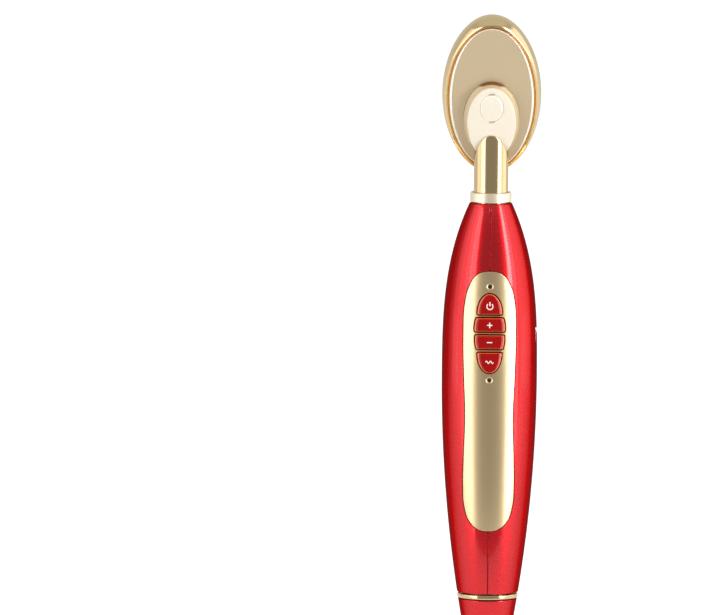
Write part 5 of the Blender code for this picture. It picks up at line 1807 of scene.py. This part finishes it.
@dataclass
class Tail:
    """The gold ring, the red cap that screws over the battery's threaded neck, its seal and spring."""

    ring_radius: float = 8.8 * MM
    ring_bore: float = 7.6 * MM
    ring_top: float = -63.3 * MM
    ring_foot: float = -64.6 * MM
    cap_top: float = -64.9 * MM
    cap_foot: float = -86.0 * MM
    cap_round: float = 3.0 * MM
    cap_face: float = 3.0 * MM
    cap_bore: float = 6.5 * MM
    bore_depth: float = 6.6 * MM
    well_radius: float = 4.3 * MM
    well_depth: float = 9.0 * MM
    neck: float = 6.2 * MM
    thread_pitch: float = 1.5 * MM
    thread_depth: float = 0.22 * MM
    spring_radius: float = 3.6 * MM
    spring_wire: float = 0.35 * MM
    spring_turns: int = 4

    def build(self) -> None:
        """Makes every piece of the tail."""
        corners = [(self.ring_bore, self.ring_foot), (self.ring_radius, self.ring_foot),
                   (self.ring_radius, self.ring_top), (self.ring_bore, self.ring_top)]
        section = rounded(corners, 0.4 * MM, True, 6)
        ring = lathe("tail_ring_fine", section, [POLISHED_GOLD], 144, closed=True)
        fitted(ring, "tail_trim", "polished_gold", "tail_ring")
        self.cap()
        self.seal()
        self.battery_tube()
        self.spring()

    def cap(self) -> None:
        """Makes the tail cap, open at its top."""
        round_top = self.cap_foot + self.cap_round
        rows = 24
        skin = []
        for row in range(1, rows + 1):
            height = self.cap_top - 0.25 * MM - (self.cap_top - 0.25 * MM - round_top) * row / rows
            skin.append((SKIN.at(height), height))
        radii = (skin[-1][0] - self.cap_face, self.cap_round)
        nose = arc((self.cap_face, round_top), radii, 0.0, -0.25, 14)[1:]
        lip = rounded([(self.cap_bore, self.cap_top), (SKIN.at(self.cap_top), self.cap_top),
                       (SKIN.at(self.cap_top - MM), self.cap_top - MM)], 0.2 * MM)[:-1]
        floor, well = self.cap_top - self.bore_depth, self.cap_top - self.well_depth
        profile = [(0.0, well), (self.well_radius, well), (self.well_radius, floor), (self.cap_bore, floor),
                   *lip, *skin, *nose, (0.0, self.cap_foot)]
        cap = lathe("tail_cap_fine", profile, [RED_LACQUER], 160)
        fitted(cap, "tail_end", "red_body", "tail_cap")

    def seal(self) -> None:
        """Makes the rubber ring in the joint."""
        section = 0.4 * MM
        centre = (self.neck + GAP + section, 0.5 * (self.ring_top + self.ring_foot))
        profile = arc(centre, (section, section), 0.0, 1.0, 16)[:-1]
        seal = lathe("tail_seal_fine", profile, [RUBBER], 96, closed=True)
        fitted(seal, "handle", "rubber", "tail_seal")

    def battery_tube(self) -> None:
        """Makes the battery's tube with the thread that the cap runs on."""
        low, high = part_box("battery_tube")
        flange_top = -50.1 * MM
        flange_foot, flange_radius = flange_top - MM, 7.9 * MM
        bore, hole, roof = 5.55 * MM, MM, high.z - MM
        plain = [(hole, roof), (hole, high.z), (self.neck, high.z), (self.neck, flange_top),
                 (flange_radius, flange_top), (flange_radius, flange_foot), (self.neck, flange_foot),
                 (self.neck, self.ring_foot)]
        steps, rows = 96, 48
        shape = Shape()
        lines = [shape.ring(circle(radius, height, steps)) for radius, height in plain]
        for row in range(1, rows + 1):
            height = self.ring_foot + (low.z - self.ring_foot) * row / rows
            points = []
            for index in range(steps):
                turn = index / steps
                share = ((height - low.z) / self.thread_pitch + turn) % 1.0
                fade = min(1.0, row / 4.0, (rows - row) / 4.0)
                radius = self.neck - self.thread_depth * fade * (0.5 - 0.5 * math.cos(TURN * share)) ** 1.6
                points.append((radius * math.cos(TURN * turn), radius * math.sin(TURN * turn), height))
            lines.append(shape.ring(points))
        lines += [shape.ring(circle(bore, height, steps)) for height in (low.z, roof)]
        for one, two in zip(lines, [*lines[1:], lines[0]]):
            shape.strip(one, two)
        tube = shape.bake("battery_tube_fine", [ALUMINIUM.material()])
        fitted(tube, "handle", "aluminium", "battery_tube")

    def spring(self) -> None:
        """Makes the tail spring, with a flat turn at each end."""
        low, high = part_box("tail_spring")
        top, foot = high.z - self.spring_wire, low.z + self.spring_wire
        steps = 40
        total = (self.spring_turns + 2) * steps
        path = []
        for index in range(total + 1):
            share = min(max((index - steps) / (self.spring_turns * steps), 0.0), 1.0)
            angle = TURN * index / steps
            path.append((self.spring_radius * math.cos(angle), self.spring_radius * math.sin(angle),
                         top + (foot - top) * share))
        wire = swept("tail_spring_fine", path, self.spring_wire, STEEL)
        fitted(wire, "tail_end", "steel", "tail_spring")


# What stays from the frame

class Inside(Enum):
    """Pieces that keep their CAD shape, by the finish that they get."""

    BOARD = (CIRCUIT_BOARD, ("main_board", "charge_board"))
    BLACK = (BLACK_PLASTIC, ("control_chip", "power_stem", "plus_stem", "minus_stem", "mode_stem"))
    SWITCHES = (STEEL, ("power_switch", "plus_switch", "minus_switch", "mode_switch"))
    SCREWS = (STEEL, ("board_screw_1", "board_screw_2", "board_screw_3", "board_screw_4", "head_screw"))
    DIODES = (CLEAR_PLASTIC, ("indicator_led_upper", "indicator_led_lower"))
    CELL = (BATTERY_WRAP, ("battery_cell",))
    METAL = (STEEL, ("battery_contact", "motor_can", "motor_shaft", "eccentric_weight"))
    SOFT = (RUBBER, ("motor_sleeve", "head_gasket"))
    FILM = (HEATER_FOIL, ("heater_film",))
    PAD = (FOAM, ("insulation_pad",))
    SENSOR = (BLACK_PLASTIC, ("temperature_sensor",))
    LEADS = (LEAD_COVER, ("heater_lead", "motor_lead", "battery_lead", "return_lead", "charge_lead"))


# The studio

@dataclass(frozen=True)
class Softbox:
    """A lamp with a rectangular face, aimed at the massager.

    Attributes:
        name: Its name.
        azimuth: Degrees round from the front, positive to the right.
        height: Height of its middle over the grip.
        distance: How far it stands from the handle.
        width: Width of its face.
        length: Height of its face.
        strength: Radiance of its face.
    """

    name: str
    azimuth: float
    height: float
    distance: float
    width: float
    length: float
    strength: float

    def place(self) -> None:
        """Puts the lamp in the scene."""
        data = bpy.data.lights.new(self.name, "AREA")
        data.shape = "RECTANGLE"
        data.size, data.size_y = self.width, self.length
        data.energy = self.strength * math.pi * self.width * self.length
        lamp = bpy.data.objects.new(self.name, data)
        turn = math.radians(self.azimuth)
        lamp.location = (self.distance * math.sin(turn), -self.distance * math.cos(turn), self.height)
        aim = Vector((0.0, 0.0, 0.02)) - lamp.location
        lamp.rotation_euler = aim.to_track_quat("-Z", "Y").to_euler()
        bpy.context.scene.collection.objects.link(lamp)
        LOG.info("lamp %s", self.name)


@dataclass
class Studio:
    """A plain white studio: two tall softboxes at the sides, a pale floor and a long lens."""

    size: tuple[int, int] = (720, 615)
    axis_at: tuple[float, float] = (489.9, 374.0)
    elevation: float = 6.5
    roll: float = 0.5
    lens: float = 1036.0
    sensor: float = 36.0
    distance: float = 6.0
    floor_height: float = -95.6 * MM
    ambient: float = 0.76
    front_level: float = 0.38
    back_level: float = 0.85
    high_level: float = 0.8
    back_range: Point = (-0.3, 0.8)
    high_range: Point = (0.25, 0.85)
    floor_reach: float = 6.0
    floor_front: float = -0.12
    floor_albedo: float = 0.7
    floor_glow: float = 0.75
    floor_mirrored: float = 0.4
    softboxes: tuple[Softbox, ...] = (
        Softbox("left_near", -49.0, 0.05, 0.75, 0.22, 1.1, 2.6),
        Softbox("left_mid", -63.0, 0.05, 0.76, 0.20, 1.1, 1.6),
        Softbox("left_far", -78.0, 0.05, 0.77, 0.22, 1.1, 0.9),
        Softbox("left_last", -94.0, 0.05, 0.78, 0.24, 1.1, 0.65),
        Softbox("right_near", 61.0, 0.05, 0.75, 0.36, 1.1, 2.0),
        Softbox("right_line", 56.0, 0.05, 0.72, 0.13, 1.1, 6.5),
        Softbox("right_far", 98.0, 0.05, 0.76, 0.60, 1.1, 0.85),
    )

    def build(self) -> None:
        """Sets up the camera, the lamps, the world and the floor."""
        self.camera()
        for box in self.softboxes:
            box.place()
        self.world()
        self.floor()
        bpy.context.scene.view_settings.view_transform = "Standard"

    def camera(self) -> None:
        """Makes the camera that sees the massager as the photograph does."""
        data = bpy.data.cameras.new("camera")
        data.lens, data.sensor_width = self.lens, self.sensor
        data.clip_start, data.clip_end = 0.05, 30.0
        camera = bpy.data.objects.new("camera", data)
        tilt = math.radians(self.elevation)
        back = Vector((0.0, -math.cos(tilt), math.sin(tilt)))
        camera.location = back * self.distance
        pixels = self.lens / self.sensor * self.size[0]
        right = math.atan((self.axis_at[0] - 0.5 * self.size[0]) / pixels)
        down = math.atan((self.axis_at[1] - 0.5 * self.size[1]) / pixels)
        facing = (-back).to_track_quat("-Z", "Y").to_matrix()
        turned = Matrix.Rotation(right, 3, "Y") @ Matrix.Rotation(down, 3, "X")
        rolled = Matrix.Rotation(math.radians(self.roll), 3, "Z")
        camera.rotation_euler = (facing @ turned @ rolled).to_euler()
        bpy.context.scene.collection.objects.link(camera)
        bpy.context.scene.camera = camera

    def seen(self, tree: bpy.types.NodeTree, mirrored: float = 1.0) -> bpy.types.NodeSocket:
        """A socket that tells the rays that see the surroundings from those that only gather light.

        Args:
            tree: The node tree.
            mirrored: Its value for glossy and transmission rays.

        Returns:
            The socket, 1 for camera rays and 0 for the rest.
        """
        path = node(tree, "LightPath").outputs
        total = path["Is Camera Ray"]
        for name in ("Is Glossy Ray", "Is Transmission Ray"):
            total = combined(tree, "MAXIMUM", total, combined(tree, "MULTIPLY", path[name], mirrored))
        return total

    def world(self) -> None:
        """Makes the white surroundings, dim behind the camera so that metal keeps its depth."""
        world = bpy.data.worlds.new("studio")
        bpy.context.scene.world = world
        world.use_nodes = True
        tree = world.node_tree
        tree.nodes.clear()
        axes = node(tree, "SeparateXYZ", {0: node(tree, "TexCoord").outputs["Generated"]}).outputs
        behind = ranged(tree, axes["Y"], self.back_range, (self.front_level, self.back_level), True)
        height = combined(tree, "ABSOLUTE", axes["Z"], 0.0)
        above = ranged(tree, height, self.high_range, (0.0, self.high_level), True)
        around = combined(tree, "MAXIMUM", behind, above)
        mirrored = combined(tree, "MAXIMUM", around, node(tree, "LightPath").outputs["Is Camera Ray"])
        level = ranged(tree, self.seen(tree), (0.0, 1.0), (self.ambient, mirrored))
        sky = node(tree, "Background", {"Strength": level})
        node(tree, "OutputWorld", {"Surface": sky.outputs[0]})

    def floor(self) -> None:
        """Makes the pale floor, which shows white and keeps a soft shadow."""
        mesh = bpy.data.meshes.new("floor")
        reach, front = self.floor_reach, self.floor_front
        corners = ((-reach, front), (reach, front), (reach, reach), (-reach, reach))
        mesh.from_pydata([(x, y, self.floor_height) for x, y in corners], [], [(0, 1, 2, 3)])
        plane = bpy.data.objects.new("floor", mesh)
        bpy.context.scene.collection.objects.link(plane)
        finish = bpy.data.materials.new("floor_white")
        finish.use_nodes = True
        tree = finish.node_tree
        tree.nodes.clear()
        matt = node(tree, "BsdfDiffuse", {"Color": (*[self.floor_albedo] * 3, 1.0)})
        strength = combined(tree, "MULTIPLY", self.seen(tree, self.floor_mirrored), self.floor_glow)
        lift = node(tree, "Emission", {"Strength": strength})
        both = node(tree, "AddShader", {0: matt.outputs[0], 1: lift.outputs[0]})
        node(tree, "OutputMaterial", {"Surface": both.outputs[0]})
        mesh.materials.append(finish)


def main() -> None:
    """Builds every sub-assembly, the finishes of what stays, and the studio."""
    logging.basicConfig(level=logging.INFO, format="%(name)s: %(message)s")
    head = MassageHead()
    for assembly in (Grip(), ControlPanel(), Keys(), ChargingPort(), Neck(head), head, Tail()):
        assembly.build()
    for group in Inside:
        finish, nodes = group.value
        dressed(finish, *nodes)
    Studio().build()


if __name__ == "__main__":
    main()
